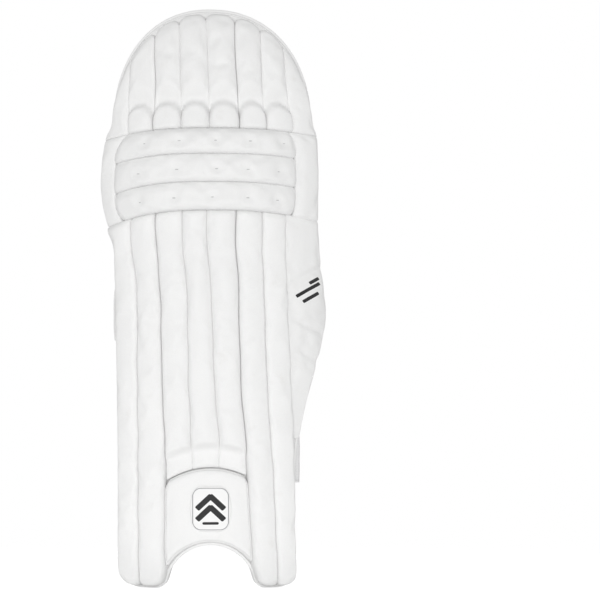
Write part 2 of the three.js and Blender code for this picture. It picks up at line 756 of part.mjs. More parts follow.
const innerMargin = (z) => innerEdge(z) + edgeBolsterMargin;
const wingMargin = (z) => wingEdge(z) - edgeBolsterMargin;
const seamLine = (share) => () => share * wrapHalfWidth;
const [shinEdge, shinInner, shinWing, shinOuter] = Object.values(bolsterSeams).map(seamLine);
const bolsters = [
  ['bolster_wing', shinWing, shinOuter, bolsterThickness],
  ['bolster_centre', shinInner, shinWing, bolsterThickness],
  ['bolster_inner', shinEdge, shinInner, bolsterThickness],
  ['bolster_edge', innerMargin, shinEdge, edgeBolsterThickness],
];
for (const [name, left, right, thickness] of bolsters) {
  add(name, rearPad({ left, right, bottom: ankleTop, top: bolsterTop, thickness }), leather);
}
const footLine = (x) => foot(x, 0) - seamGap / 2;
const ankleSeam = (side) => archCentre + side * (archHalfWidth + ankleSeamMargin);
add('ankle_bolster_wing', rearPad({
  left: ankleSeam(1),
  right: wingMargin,
  bottom: footLine,
  top: ankleTop,
  thickness: ankleThickness,
  fill: ankleFill,
}), leather);
add('ankle_bolster_inner', rearPad({
  left: innerMargin,
  right: ankleSeam(-1),
  bottom: footLine,
  top: ankleTop,
  thickness: ankleThickness,
  fill: ankleFill,
}), leather);
add('instep_lining', rearPad({
  left: ankleSeam(-1),
  right: ankleSeam(1),
  bottom: (x) => foot(x, bindingWidth / 2),
  top: ankleTop,
  thickness: insetLiningThickness,
  section: flatSection,
}), lining);
const [kneeInner, kneeMesh, kneeWing] = Object.values(kneeSeams).map(seamLine);
const kneePads = [
  ['knee_bolster_wing', kneeWing, wingMargin, kneeBolsterThickness, leather],
  ['knee_mesh_wing', kneeMesh, kneeWing, kneeMeshThickness, mesh],
  ['knee_mesh_inner', kneeInner, kneeMesh, kneeMeshThickness, mesh],
  ['knee_bolster_inner', innerMargin, kneeInner, kneeBolsterThickness, leather],
];
for (const [name, left, right, thickness, material] of kneePads) {
  add(name, rearPad({ left, right, bottom: bolsterTop, top: kneeTop, thickness }), material);
}
add('crown_lining', rearPad({
  left: (z) => innerEdge(z) + crownLiningInset,
  right: (z) => wingEdge(z) - crownLiningInset,
  bottom: kneeTop,
  top: (x) => crown(x, crownLiningInset) + seamGap,
  thickness: crownLiningThickness,
  seat: curvedSeatGap,
  section: flatSection,
}), lining);
straps.forEach(strap);
sideTabs.forEach(sideTab);

// The origin is under the middle of the pad, on the ground.
const bounds = new THREE.Box3().setFromObject(pieces);
const middle = bounds.getCenter(new THREE.Vector3());
pieces.position.set(-middle.x, -middle.y, -bounds.min.z);
const battingPad = new THREE.Group();
battingPad.add(pieces);

export default battingPad;
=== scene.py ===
"""A cricket batting pad in white leathercloth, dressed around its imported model.

Lengths are millimetres, in the frame of the leg's wrap, until a mesh is made: there they
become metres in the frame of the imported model.
"""

import logging
import math
from collections.abc import Callable, Iterator
from dataclasses import dataclass, field
from enum import Enum
from functools import cache

import bpy
import numpy as np
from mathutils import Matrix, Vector


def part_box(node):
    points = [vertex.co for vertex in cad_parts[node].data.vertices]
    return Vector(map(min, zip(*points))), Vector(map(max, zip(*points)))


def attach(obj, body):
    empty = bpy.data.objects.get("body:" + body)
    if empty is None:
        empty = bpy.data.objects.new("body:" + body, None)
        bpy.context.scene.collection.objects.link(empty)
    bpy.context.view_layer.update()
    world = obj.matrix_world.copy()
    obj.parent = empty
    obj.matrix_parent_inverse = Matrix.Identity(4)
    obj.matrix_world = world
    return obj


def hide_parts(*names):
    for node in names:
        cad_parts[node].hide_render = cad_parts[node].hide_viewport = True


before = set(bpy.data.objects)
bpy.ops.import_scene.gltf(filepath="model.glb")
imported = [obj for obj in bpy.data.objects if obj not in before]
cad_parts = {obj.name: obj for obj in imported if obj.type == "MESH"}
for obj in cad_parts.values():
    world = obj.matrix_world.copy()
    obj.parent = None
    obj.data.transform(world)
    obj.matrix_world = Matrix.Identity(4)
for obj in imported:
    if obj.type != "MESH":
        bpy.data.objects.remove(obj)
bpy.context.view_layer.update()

Numbers = np.ndarray
Line = Callable[[Numbers], Numbers]
Place = Callable[[Numbers, Numbers], tuple[Numbers, Numbers]]
Tone = tuple[float, float, float]

MM = 0.001
LOG = logging.getLogger("batting_pad")


def mix(a: Numbers, b: Numbers, share: Numbers) -> Numbers:
    """The point that lies a share of the way from a to b."""
    return a + (b - a) * share


def ease(share: Numbers) -> Numbers:
    """A share from 0 to 1 that leaves and arrives gently: 3t squared less 2t cubed."""
    t = np.clip(share, 0, 1)
    return t * t * (3 - 2 * t)


def dome(distance: Numbers, reach: float, power: float = 2.2) -> Numbers:
    """A rounded shoulder: 0 at the edge and 1 at reach.

    One less the remaining share to a power, and the root of that power of the rest.
    """
    left = 1 - np.clip(distance / reach, 0, 1)
    return (1 - left**power) ** (1 / power)


def flattened(wave: Numbers, power: float) -> Numbers:
    """A sine or cosine with its size raised to a power and its sign kept."""
    return np.sign(wave) * np.abs(wave) ** power


def rows(names: str, *values: tuple[float, ...]) -> Numbers:
    """A table with named columns."""
    return np.array(list(values), dtype=[(name, float) for name in names.split()])


def knots(*points: tuple[float, float]) -> Numbers:
    """A dataclass field that holds a broken line's points."""
    return field(default_factory=lambda: np.array(points, float))


def profile(names: str, *values: tuple[float, ...]) -> Numbers:
    """A dataclass field that holds a table with named columns."""
    return field(default_factory=lambda: rows(names, *values))


def follow(table: Numbers, column: str, at: Numbers) -> Numbers:
    """A smooth cubic through a table's rows.

    The slope at each row is that of its two neighbours, and the ends are held.

    Args:
        table: Its knots are in the column at.
        column: The column to follow.
        at: Where to read it.

    Returns:
        The column there.
    """
    knots, values = table["at"], table[column]
    after = np.minimum(np.arange(len(knots)) + 1, len(knots) - 1)
    before = np.maximum(np.arange(len(knots)) - 1, 0)
    slopes = (values[after] - values[before]) / (knots[after] - knots[before])
    i = np.clip(np.searchsorted(knots, at) - 1, 0, len(knots) - 2)
    span = knots[i + 1] - knots[i]
    t = np.clip((at - knots[i]) / span, 0, 1)
    leave = slopes[i] * span * t * (1 - t) ** 2
    arrive = slopes[i + 1] * span * t * t * (t - 1)
    return mix(values[i], values[i + 1], ease(t)) + leave + arrive


def ripple(x: Numbers, z: Numbers, seed: int, length: float) -> Numbers:
    """A gentle unevenness from -1 to 1: five slanting waves of about one length, summed.

    Args:
        x: One coordinate.
        z: The other.
        seed: Seed of the random draw.
        length: The usual length of a wave.

    Returns:
        The unevenness at each point.
    """
    draw = np.random.default_rng(seed)
    waves = draw.normal(0, 2 * math.pi / length, (5, 2))
    phases = draw.uniform(0, 2 * math.pi, 5)
    total = sum(np.sin(a * x + b * z + c) for (a, b), c in zip(waves, phases))
    return total / 5


@dataclass(frozen=True)
class LegWrap:
    """The curve that the whole pad follows round the leg."""

    half_width: float = 142
    depth: float = 105
    crown_depth: float = 84
    crown_lean: float = 26
    height: float = 700
    lean_from: float = 457
    widest: float = 0.98

    def _share(self, x: Numbers) -> Numbers:
        """Width as a share of the half width, short of the curve's upright ends."""
        return np.clip(x / self.half_width, -self.widest, self.widest)

    def _depth(self, z: Numbers) -> Numbers:
        """Depth at a height: it eases from the shin's to the crown's."""
        up = ease((z - self.lean_from) / (self.height - self.lean_from))
        return mix(self.depth, self.crown_depth, up)

    def normal(self, x: Numbers, z: Numbers) -> Numbers:
        """The level direction away from the leg, at right angles to the wrap.

        Args:
            x: Width on the wrap.
            z: Height.

        Returns:
            Unit vectors.
        """
        s = self._share(x)
        slope = self._depth(z) * s / (self.half_width * np.sqrt(1 - s * s))
        unit = 1 / np.hypot(1, slope)
        return np.stack([slope * unit, -unit, np.zeros_like(slope)], axis=-1)

    def point(self, x: Numbers, z: Numbers, out: Numbers) -> Numbers:
        """A point of the wrap, moved out along its normal.

        Its depth is a quarter of an ellipse over x, and the crown leans back as a square.

        Args:
            x: Width on the wrap.
            z: Height.
            out: Distance out.

        Returns:
            Points in space.
        """
        x, z, out = np.broadcast_arrays(*(np.asarray(v, float) for v in (x, z, out)))
        s = self._share(x)
        up = np.maximum(0, (z - self.lean_from) / (self.height - self.lean_from))
        y = self.crown_lean * up**2 + self._depth(z) * (1 - np.sqrt(1 - s * s))
        return np.stack([x, y, z], axis=-1) + self.normal(x, z) * out[..., None]


WRAP = LegWrap()
BACKING = 3.0

# Gaps beside seams: a negative one is an overlap inside the seam. The last line has one for
# each seam across the face, from the inner edge to the wing's.
SEAM_GAP = 0.8
COVER_GAP = -1.0
SEAM_GAPS = (0.3, -0.6, -0.1, -1.0, -1.0, -0.1, -0.8, -0.8, 0.3)


@dataclass(frozen=True)
class Pattern:
    """The pad's paper pattern: its edges, seams and boundaries in width and height."""

    knee_top: float = 559
    roll_count: int = 3
    roll_pitch: float = 34
    inner_reach: float = 108
    wing_reach: float = 99
    inner_droop: float = 21
    wing_droop: float = 12
    droop_growth: float = 1.7
    droop_power: float = 2.5
    crown_power: float = 2.18
    crown_rim: float = 6
    arch_height: float = 52
    arch_half: float = 54.5
    arch_flare: float = 52
    arch_corner: float = 14
    arch_centre: float = 2
    arch_power: float = 1.1
    foot_corner: float = 20
    shield_height: float = 145
    shield_droop: float = 17.8
    columns: int = 8
    wander: float = 0.9
    wander_length: float = 70
    wander_seed: int = 40
    first_roll_drop: float = 4
    end_cuts: tuple[tuple[float, float, float], ...] = ((515, 545, 13), (472, 445, 7))
    end_cut_limit: float = 1.2
    seam_lift: Numbers = knots((0, 9), (500, 12), (575, 7), (680, 0))
    edges: Numbers = profile(
        "at inner wing",
        (0, -0.725, 0.73), (0.18, -0.725, 0.73), (0.25, -0.725, 0.734),
        (0.31, -0.727, 0.753), (0.36, -0.729, 0.781), (0.414, -0.732, 0.817),
        (0.472, -0.735, 0.864), (0.522, -0.738, 0.909), (0.58, -0.742, 0.945),
        (0.63, -0.746, 0.936), (0.69, -0.752, 0.911), (0.74, -0.762, 0.895),
        (0.785, -0.83, 0.885), (0.846, -0.877, 0.886), (0.9, -0.879, 0.887),
        (0.95, -0.862, 0.882), (1, -0.826, 0.874),
    )
    seams: Numbers = profile(
        "at s1 s2 s3 s4 s5 s6 s7",
        (0, -0.582, -0.357, -0.134, 0.098, 0.377, 0.582, 0.733),
        (0.108, -0.592, -0.376, -0.141, 0.091, 0.36, 0.564, 0.724),
        (0.312, -0.599, -0.373, -0.147, 0.086, 0.312, 0.524, 0.714),
        (0.435, -0.602, -0.393, -0.169, 0.049, 0.275, 0.492, 0.693),
        (0.652, -0.615, -0.418, -0.189, 0.017, 0.25, 0.466, 0.661),
        (0.762, -0.667, -0.451, -0.226, -0.017, 0.229, 0.451, 0.65),
        (1, -0.68, -0.476, -0.236, 0.009, 0.262, 0.486, 0.7),
        (1.065, -0.671, -0.451, -0.232, 0, 0.239, 0.444, 0.651),
        (1.15, -0.661, -0.448, -0.242, -0.012, 0.216, 0.426, 0.623),
        (1.26, -0.648, -0.465, -0.257, -0.032, 0.208, 0.419, 0.605),
    )

    def inner(self, z: Numbers) -> Numbers:
        """The inner side's edge at a height."""
        return follow(self.edges, "inner", np.asarray(z) / self.knee_top) * WRAP.half_width

    def wing(self, z: Numbers) -> Numbers:
        """The wing side's edge at a height."""
        return follow(self.edges, "wing", np.asarray(z) / self.knee_top) * WRAP.half_width

    def seam(self, i: int, z: Numbers) -> Numbers:
        """The i-th seam across the face at a height: 0 and the last are the edges.

        Args:
            i: The seam, from the inner side.
            z: Height.

        Returns:
            Its width there.
        """
        if i == 0:
            return self.inner(z)
        if i == self.columns:
            return self.wing(z)
        z = np.asarray(z, float)
        x = follow(self.seams, f"s{i}", z / self.knee_top) * WRAP.half_width
        x = x - np.interp(z, *self.seam_lift.T) * WRAP.normal(x, z)[..., 0]
        sway = ripple(np.zeros_like(x), z, self.wander_seed + i, self.wander_length)
        return x + self.wander * sway

    def crown(self, x: Numbers, inset: float) -> Numbers:
        """The outline's top over x: half a rounded rectangle, a superellipse.

        Args:
            x: Width.
            inset: Distance inside the outline.

        Returns:
            Heights.
        """
        edge = np.where(x < 0, -self.inner(self.knee_top), self.wing(self.knee_top))
        across = np.minimum(1, np.abs(x) / (edge - inset)) ** self.crown_power
        rise = WRAP.height - self.knee_top - inset
        return self.knee_top + rise * (1 - across) ** (1 / self.crown_power)

    def foot(self, x: Numbers, inset: float) -> Numbers:
        """The outline's bottom over x: the instep arch between two feet with round corners.

        Args:
            x: Width.
            inset: Distance inside the outline.

        Returns:
            Heights.
        """
        s = np.minimum(1, np.abs(x - self.arch_centre) / (self.arch_half + inset))
        arch = (self.arch_height + inset) * (1 - s * s) ** (self.arch_power / 2)
        edge = np.minimum(x - self.inner(0.0), self.wing(0.0) - x)
        flare = np.abs(x - self.arch_centre) - self.arch_flare
        for from_corner, size in ((edge, self.foot_corner), (flare, self.arch_corner)):
            radius = size - inset
            into = np.clip(radius - (from_corner - inset), 0, radius)
            arch = np.maximum(arch, size - np.sqrt(radius**2 - into**2))
        return arch

    def roll(self, k: int, x: Numbers) -> Numbers:
        """The k-th boundary of the knee rolls from the top, which droops towards both ends.

        Args:
            k: The boundary, 0 at the top.
            x: Width.

        Returns:
            Heights.
        """
        droop = np.where(x < 0, self.inner_droop, self.wing_droop)
        grown = droop * mix(1, self.droop_growth, k / self.roll_count)
        level = self.knee_top - k * self.roll_pitch - (self.first_roll_drop if k == 0 else 0)
        return level - grown * np.abs(x / WRAP.half_width) ** self.droop_power

    def rolls_end(self, z: Numbers) -> Numbers:
        """How far the rolls' ends are cut back at a height.

        Each cut grows from its first height to its second, and a little past it, as a square.

        Args:
            z: Height.

        Returns:
            The cut there.
        """
        cut = np.zeros_like(z, float)
        for start, end, reach in self.end_cuts:
            share = np.clip((z - start) / (end - start), 0, self.end_cut_limit)
            cut = cut + reach * share**2
        return cut

    def rolls_foot(self, x: Numbers) -> Numbers:
        """The lowest roll's lower boundary."""
        return self.roll(self.roll_count, x)

    def shield(self, x: Numbers) -> Numbers:
        """The instep shield's upper boundary, a shallow arc."""
        share = (x - self.arch_centre) / self.arch_half
        return self.shield_height - self.shield_droop * share**2


PATTERN = Pattern()


def steady(value: float) -> Line:
    """A line that stays at one value."""
    return lambda at: value + 0 * np.asarray(at)


def model_shift() -> Numbers:
    """The step from the wrap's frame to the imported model's frame, in millimetres.

    The backing's inner side gives the width, and the binding's front line the depth.

    Returns:
        The step as one vector.
    """
    levels = np.linspace(0, PATTERN.knee_top, 400)
    side = PATTERN.inner(levels).min() + Shell.binding_width + SEAM_GAP
    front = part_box("edge_binding")[0].y
    return np.array([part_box("backing")[0].x / MM - side, front / MM, 0.0])


@dataclass
class Skin:
    """A closed surface, ready to become a mesh: one row of each array for each point.

    The face map is width and height on the wrap, and the run map the way across and along
    the piece. Seam is the distance to a seam, and crest the share of the full height. Sewn
    points stay in place when the pad swells, and normal is the way out from the wrap.
    """

    points: Numbers
    faces: list[list[int]]
    face_map: Numbers
    run_map: Numbers
    seam: Numbers
    crest: Numbers
    sewn: Numbers | None = None
    normal: Numbers | None = None


def pillow_faces(along: int, across: int) -> list[list[int]]:
    """The faces of two grids of along x across points, joined round their borders.

    Args:
        along: Points along a grid.
        across: Points across it.

    Returns:
        The faces as lists of point numbers.
    """
    index = np.arange(2 * along * across).reshape(2, along, across)
    front, back = index

    def quads(a: Numbers, b: Numbers) -> Numbers:
        """Quads between two lines of points."""
        return np.stack([a[:-1], a[1:], b[1:], b[:-1]], axis=-1).reshape(-1, 4)

    top = np.stack([front[:-1, :-1], front[:-1, 1:], front[1:, 1:], front[1:, :-1]], -1)
    bottom = np.stack([back[:-1, :-1], back[1:, :-1], back[1:, 1:], back[:-1, 1:]], -1)
    sides = [
        quads(back[0], front[0]),
        quads(front[-1], back[-1]),
        quads(front[:, 0], back[:, 0]),
        quads(back[:, -1], front[:, -1]),
    ]
    return np.concatenate([top.reshape(-1, 4), bottom.reshape(-1, 4), *sides]).tolist()


def sweep_faces(count: int, around: int, looped: bool) -> list[list[int]]:
    """The faces of a profile of around points carried through count rings.

    Args:
        count: Rings.
        around: Points in a ring.
        looped: Whether the last ring joins the first; if not, both ends close.

    Returns:
        The faces as lists of point numbers.
    """
    index = np.arange(count * around).reshape(count, around)
    ahead = np.roll(index, -1, axis=0)
    a, b = (index, ahead) if looped else (index[:-1], ahead[:-1])
    quads = np.stack([a, np.roll(a, -1, 1), np.roll(b, -1, 1), b], -1).reshape(-1, 4)
    faces = quads.tolist()
    if not looped:
        faces += [index[0][::-1].tolist(), index[-1].tolist()]
    return faces


def outward(points: Numbers, faces: list[list[int]]) -> list[list[int]]:
    """The faces, turned over if the volume that they enclose comes out negative.

    Args:
        points: All points.
        faces: Faces that agree with one another.

    Returns:
        Faces that point outwards.
    """
    volume = 0.0
    for size in sorted({len(f) for f in faces}):
        group = np.array([f for f in faces if len(f) == size])
        for i in range(1, size - 1):
            a, b, c = points[group[:, 0]], points[group[:, i]], points[group[:, i + 1]]
            volume += float(np.einsum("ij,ij->", a, np.cross(b, c)))
    return faces if volume > 0 else [f[::-1] for f in faces]


def mesh_points(mesh: bpy.types.Mesh) -> Numbers:
    """A mesh's points, one row for each."""
    points = np.zeros(3 * len(mesh.vertices))
    mesh.vertices.foreach_get("co", points)
    return points.reshape(-1, 3)


def mesh_object(name: str, skin: Skin) -> bpy.types.Object:
    """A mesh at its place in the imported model's frame, with its maps and attributes.

    Args:
        name: The piece's name.
        skin: Its closed surface in the wrap's frame.

    Returns:
        The object, linked to the scene.
    """
    faces = outward(skin.points, skin.faces)
    mesh = bpy.data.meshes.new(name)
    mesh.from_pydata((skin.points + model_shift()) * MM, [], faces)
    corner = np.zeros(len(mesh.loops), np.int32)
    mesh.loops.foreach_get("vertex_index", corner)
    for title, values in (("face", skin.face_map), ("run", skin.run_map)):
        layer = mesh.uv_layers.new(name=title)
        layer.data.foreach_set("uv", (values[corner] * MM).astype(np.float32).ravel())
    for title, values in (("seam", skin.seam), ("crest", skin.crest)):
        attribute = mesh.attributes.new(title, "FLOAT", "POINT")
        attribute.data.foreach_set("value", values.astype(np.float32))
    mesh.shade_smooth()
    mesh.update()
    made = bpy.data.objects.new(name, mesh)
    bpy.context.scene.collection.objects.link(made)
    return made


# Finishes: shader groups for the effects, and one dataclass for the materials


class Wiring:
    """Adds nodes to one node tree and links them."""

    def __init__(self, tree: bpy.types.NodeTree) -> None:
        """Keeps the tree."""
        self.tree = tree

    def feed(self, socket: bpy.types.NodeSocket, value: object) -> None:
        """Links a socket to another, or sets it to a number or colour."""
        if isinstance(value, bpy.types.NodeSocket):
            self.tree.links.new(value, socket)
        else:
            socket.default_value = value

    def add(self, kind: str, inputs: dict | None = None, **settings: object) -> bpy.types.Node:
        """A new node, with its settings and what its inputs take.

        Args:
            kind: The node's type.
            inputs: Values or sockets by input.
            settings: Properties of the node.

        Returns:
            The node.
        """
        node = self.tree.nodes.new(kind)
        for key, value in settings.items():
            setattr(node, key, value)
        for key, value in (inputs or {}).items():
            self.feed(node.inputs[key], value)
        return node

    def math(self, operation: str, *values: object, clamp: bool = False) -> bpy.types.NodeSocket:
        """The result of one sum."""
        node = self.add("ShaderNodeMath", operation=operation, use_clamp=clamp)
        for socket, value in zip(node.inputs, values):
            self.feed(socket, value)
        return node.outputs[0]

    def ramp(self, value: object, start: object, end: object) -> bpy.types.NodeSocket:
        """0 to 1 as the value goes from start to end, eased."""
        inputs = {"Value": value, "From Min": start, "From Max": end}
        return self.add("ShaderNodeMapRange", inputs, interpolation_type="SMOOTHSTEP").outputs[0]

    def tint(self, share: object, a: object, b: object) -> bpy.types.NodeSocket:
        """Colour a, going to colour b by a share.

        Args:
            share: From 0 to 1.
            a: Colour or socket.
            b: Colour or socket.

        Returns:
            The mixed colour's socket.
        """
        node = self.add("ShaderNodeMix", data_type="RGBA")
        colours = [s for s in node.inputs if s.type == "RGBA"]
        self.feed(node.inputs[0], share)
        for socket, value in zip(colours, (a, b)):
            self.feed(socket, (*value, 1) if isinstance(value, tuple) else value)
        return next(s for s in node.outputs if s.type == "RGBA")

    def noise(self, vector: object, size: float, detail: float = 2) -> bpy.types.NodeSocket:
        """Soft noise with lumps of a size, in the vector's own units."""
        inputs = {"Vector": vector, "Scale": 1 / size, "Detail": detail}
        return self.add("ShaderNodeTexNoise", inputs).outputs["Fac"]

    def use(self, effect: bpy.types.NodeTree, **inputs: object) -> bpy.types.Node:
        """A shader group, placed with its own values. Underscores stand for spaces.

        Args:
            effect: The group.
            inputs: Values or sockets by input.

        Returns:
            The group's node.
        """
        node = self.add("ShaderNodeGroup", node_tree=effect)
        for key, value in inputs.items():
            self.feed(node.inputs[key.replace("_", " ")], value)
        return node


def shader_group(
    name: str, inputs: dict[str, float | None], outputs: list[str]
) -> tuple[bpy.types.NodeTree, Wiring, bpy.types.NodeOutputs, bpy.types.NodeInputs]:
    """An empty shader group.

    Args:
        name: The group's name.
        inputs: Each input's name and value, or None where it takes a vector.
        outputs: The names of its values.

    Returns:
        The tree, its wiring, and the sockets that give its inputs and take its outputs.
    """
    tree = bpy.data.node_groups.new(name, "ShaderNodeTree")
    for title, value in inputs.items():
        kind = "NodeSocketVector" if value is None else "NodeSocketFloat"
        socket = tree.interface.new_socket(name=title, in_out="INPUT", socket_type=kind)
        if value is not None:
            socket.default_value = value
    for title in outputs:
        tree.interface.new_socket(name=title, in_out="OUTPUT", socket_type="NodeSocketFloat")
    wiring = Wiring(tree)
    given, made = wiring.add("NodeGroupInput"), wiring.add("NodeGroupOutput")
    return tree, wiring, given.outputs, made.inputs


@cache
def pebble_grain() -> bpy.types.NodeTree:
    """Leathercloth's embossed pebbles: flat-topped cells with soft cracks between them.

    Returns:
        The group.
    """
    tree, w, given, made = shader_group(
        "pebble_grain", {"Vector": None, "Size": 0.001}, ["Height", "Crack"]
    )
    bent = w.add("ShaderNodeTexNoise", {"Vector": given["Vector"], "Scale": 300.0})
    shift = w.add(
        "ShaderNodeVectorMath",
        {0: bent.outputs["Color"], 1: (0.0004, 0.0004, 0.0004)},
        operation="MULTIPLY",
    )
    spot = w.add(
        "ShaderNodeVectorMath", {0: given["Vector"], 1: shift.outputs[0]}, operation="ADD",
    )
    cells = w.add(
        "ShaderNodeTexVoronoi",
        {"Vector": spot.outputs[0], "Scale": w.math("DIVIDE", 1.0, given["Size"])},
        feature="DISTANCE_TO_EDGE",
    )
    height = w.ramp(cells.outputs["Distance"], 0.0, 0.22)
    w.feed(made["Height"], height)
    w.feed(made["Crack"], w.math("SUBTRACT", 1.0, height))
    return tree


@cache
def seam_shade() -> bpy.types.NodeTree:
    """What happens beside a seam: painted shade darkens the fold, and the cloth puckers there.

    Returns:
        The group.
    """
    tree, w, given, made = shader_group(
        "seam_shade",
        {"Seam": 10.0, "Along": 0.0, "Width": 1.6, "Reach": 9.0},
        ["Shade", "Pucker"],
    )
    shade = w.math("SUBTRACT", 1.0, w.ramp(given["Seam"], 0.0, given["Width"]))
    near = w.math("DIVIDE", given["Seam"], given["Reach"])
    fade = w.math("POWER", w.math("SUBTRACT", 1.0, near, clamp=True), 2.0)
    steps = w.add("ShaderNodeCombineXYZ", {"X": given["Along"], "Y": near})
    uneven = w.noise(steps.outputs[0], 5.0, 3)
    w.feed(made["Shade"], shade)
    w.feed(made["Pucker"], w.math("MULTIPLY", uneven, fade))
    return tree


@cache
def stitch_row() -> bpy.types.NodeTree:
    """A row of stitches at a distance from a seam: raised thread and the pits at its ends.

    Returns:
        The group.
    """
    tree, w, given, made = shader_group(
        "stitch_row",
        {"Along": 0.0, "Seam": 10.0, "Inset": 3.0, "Pitch": 3.4, "Width": 0.8},
        ["Thread", "Pit"],
    )
    off = w.math("ABSOLUTE", w.math("SUBTRACT", given["Seam"], given["Inset"]))
    step = w.math("FRACT", w.math("DIVIDE", given["Along"], given["Pitch"]))
    middle = w.math("ABSOLUTE", w.math("SUBTRACT", step, 0.5))
    half = w.math("MULTIPLY", given["Width"], 0.5)
    row = w.math("SUBTRACT", 1.0, w.math("DIVIDE", off, half), clamp=True)
    thread = w.math("MULTIPLY", row, w.math("SUBTRACT", 1.0, w.ramp(middle, 0.28, 0.4)))
    pit = w.math("MULTIPLY", row, w.ramp(middle, 0.38, 0.46))
    w.feed(made["Thread"], thread)
    w.feed(made["Pit"], pit)
    return tree


@cache
def knitted_holes() -> bpy.types.NodeTree:
    """Spacer mesh: small holes on a triangular lattice, three waves at 60 degrees, summed.

    Returns:
        The group.
    """
    tree, w, given, made = shader_group(
        "knitted_holes", {"Vector": None, "Pitch": 0.0024}, ["Height", "Hole"]
    )
    total = None
    for turn in (0, 60, 120):
        angle = math.radians(turn)
        wave = (math.cos(angle), math.sin(angle), 0.0)
        dot = w.add(
            "ShaderNodeVectorMath", {0: given["Vector"], 1: wave}, operation="DOT_PRODUCT"
        )
        phase = w.math("DIVIDE", dot.outputs["Value"], given["Pitch"])
        value = w.math("COSINE", w.math("MULTIPLY", phase, 2 * math.pi))
        total = value if total is None else w.math("ADD", total, value)
    hole = w.ramp(total, 0.6, 2.2)
    w.feed(made["Height"], w.math("SUBTRACT", 1.0, hole))
    w.feed(made["Hole"], hole)
    return tree


@cache
def plain_weave() -> bpy.types.NodeTree:
    """Woven lining: two sets of threads that pass over each other in turn.

    Returns:
        The group.
    """
    tree, w, given, made = shader_group(
        "plain_weave", {"Vector": None, "Pitch": 0.0008}, ["Height", "Gap"]
    )
    parts = w.add("ShaderNodeSeparateXYZ", {0: given["Vector"]})
    waves = []
    for axis in (0, 1):
        phase = w.math("DIVIDE", parts.outputs[axis], given["Pitch"])
        waves.append(w.math("SINE", w.math("MULTIPLY", phase, math.pi)))
    over = w.math("MULTIPLY", *waves)
    height = w.math("ADD", w.math("MULTIPLY", over, 0.5), 0.5)
    w.feed(made["Height"], height)
    w.feed(made["Gap"], w.math("SUBTRACT", 1.0, w.ramp(height, 0.0, 0.3)))
    return tree


@cache
def round_bar() -> bpy.types.NodeTree:
    """A printed bar: the distance to a turned rectangle with round corners, cut off sharply.

    Line is the width of the bar's own outline, and a very wide one fills it.

    Returns:
        The group.
    """
    tree, w, given, made = shader_group(
        "round_bar",
        {
            "Vector": None, "X": 0.0, "Z": 0.0, "Half Width": 5.0, "Half Height": 5.0,
            "Turn": 0.0, "Corner": 1.0, "Line": 1000.0,
        },
        ["Ink"],
    )
    middle = w.add("ShaderNodeCombineXYZ", {"X": given["X"], "Y": given["Z"]})
    turned = w.add(
        "ShaderNodeVectorRotate",
        {"Vector": given["Vector"], "Center": middle.outputs[0], "Angle": given["Turn"]},
        rotation_type="Z_AXIS",
    )
    parts = w.add("ShaderNodeSeparateXYZ", {0: turned.outputs[0]})
    sides = []
    for axis, centre, half in ((0, "X", "Half Width"), (1, "Z", "Half Height")):
        off = w.math("ABSOLUTE", w.math("SUBTRACT", parts.outputs[axis], given[centre]))
        sides.append(w.math("ADD", w.math("SUBTRACT", off, given[half]), given["Corner"]))
    outside = [w.math("MAXIMUM", side, 0.0) for side in sides]
    length = w.math("SQRT", w.math("ADD", *(w.math("POWER", o, 2.0) for o in outside)))
    inside = w.math("MINIMUM", w.math("MAXIMUM", *sides), 0.0)
    distance = w.math("SUBTRACT", w.math("ADD", length, inside), given["Corner"])
    half_line = w.math("MULTIPLY", given["Line"], 0.5)
    shell = w.math("ABSOLUTE", w.math("ADD", distance, half_line))
    edge = w.math("SUBTRACT", shell, half_line)
    w.feed(made["Ink"], w.math("SUBTRACT", 1.0, w.ramp(edge, -0.15, 0.15)))
    return tree


class Ink(Enum):
    """The print's inks."""

    GREY = (0.36, 0.36, 0.37)
    BLACK = (0.01, 0.01, 0.011)


@dataclass(frozen=True)
class Bar:
    """One printed bar on the wrap, in millimetres and degrees."""

    x: float
    z: float
    width: float
    height: float
    turn: float = 0
    corner: float = 1
    line: float = 1000
    ink: Ink = Ink.BLACK


class Surface(Enum):
    """What a finish is made of."""

    PEBBLED = "pebbled"
    WOVEN = "woven"
    KNITTED = "knitted"
    SMOOTH = "smooth"


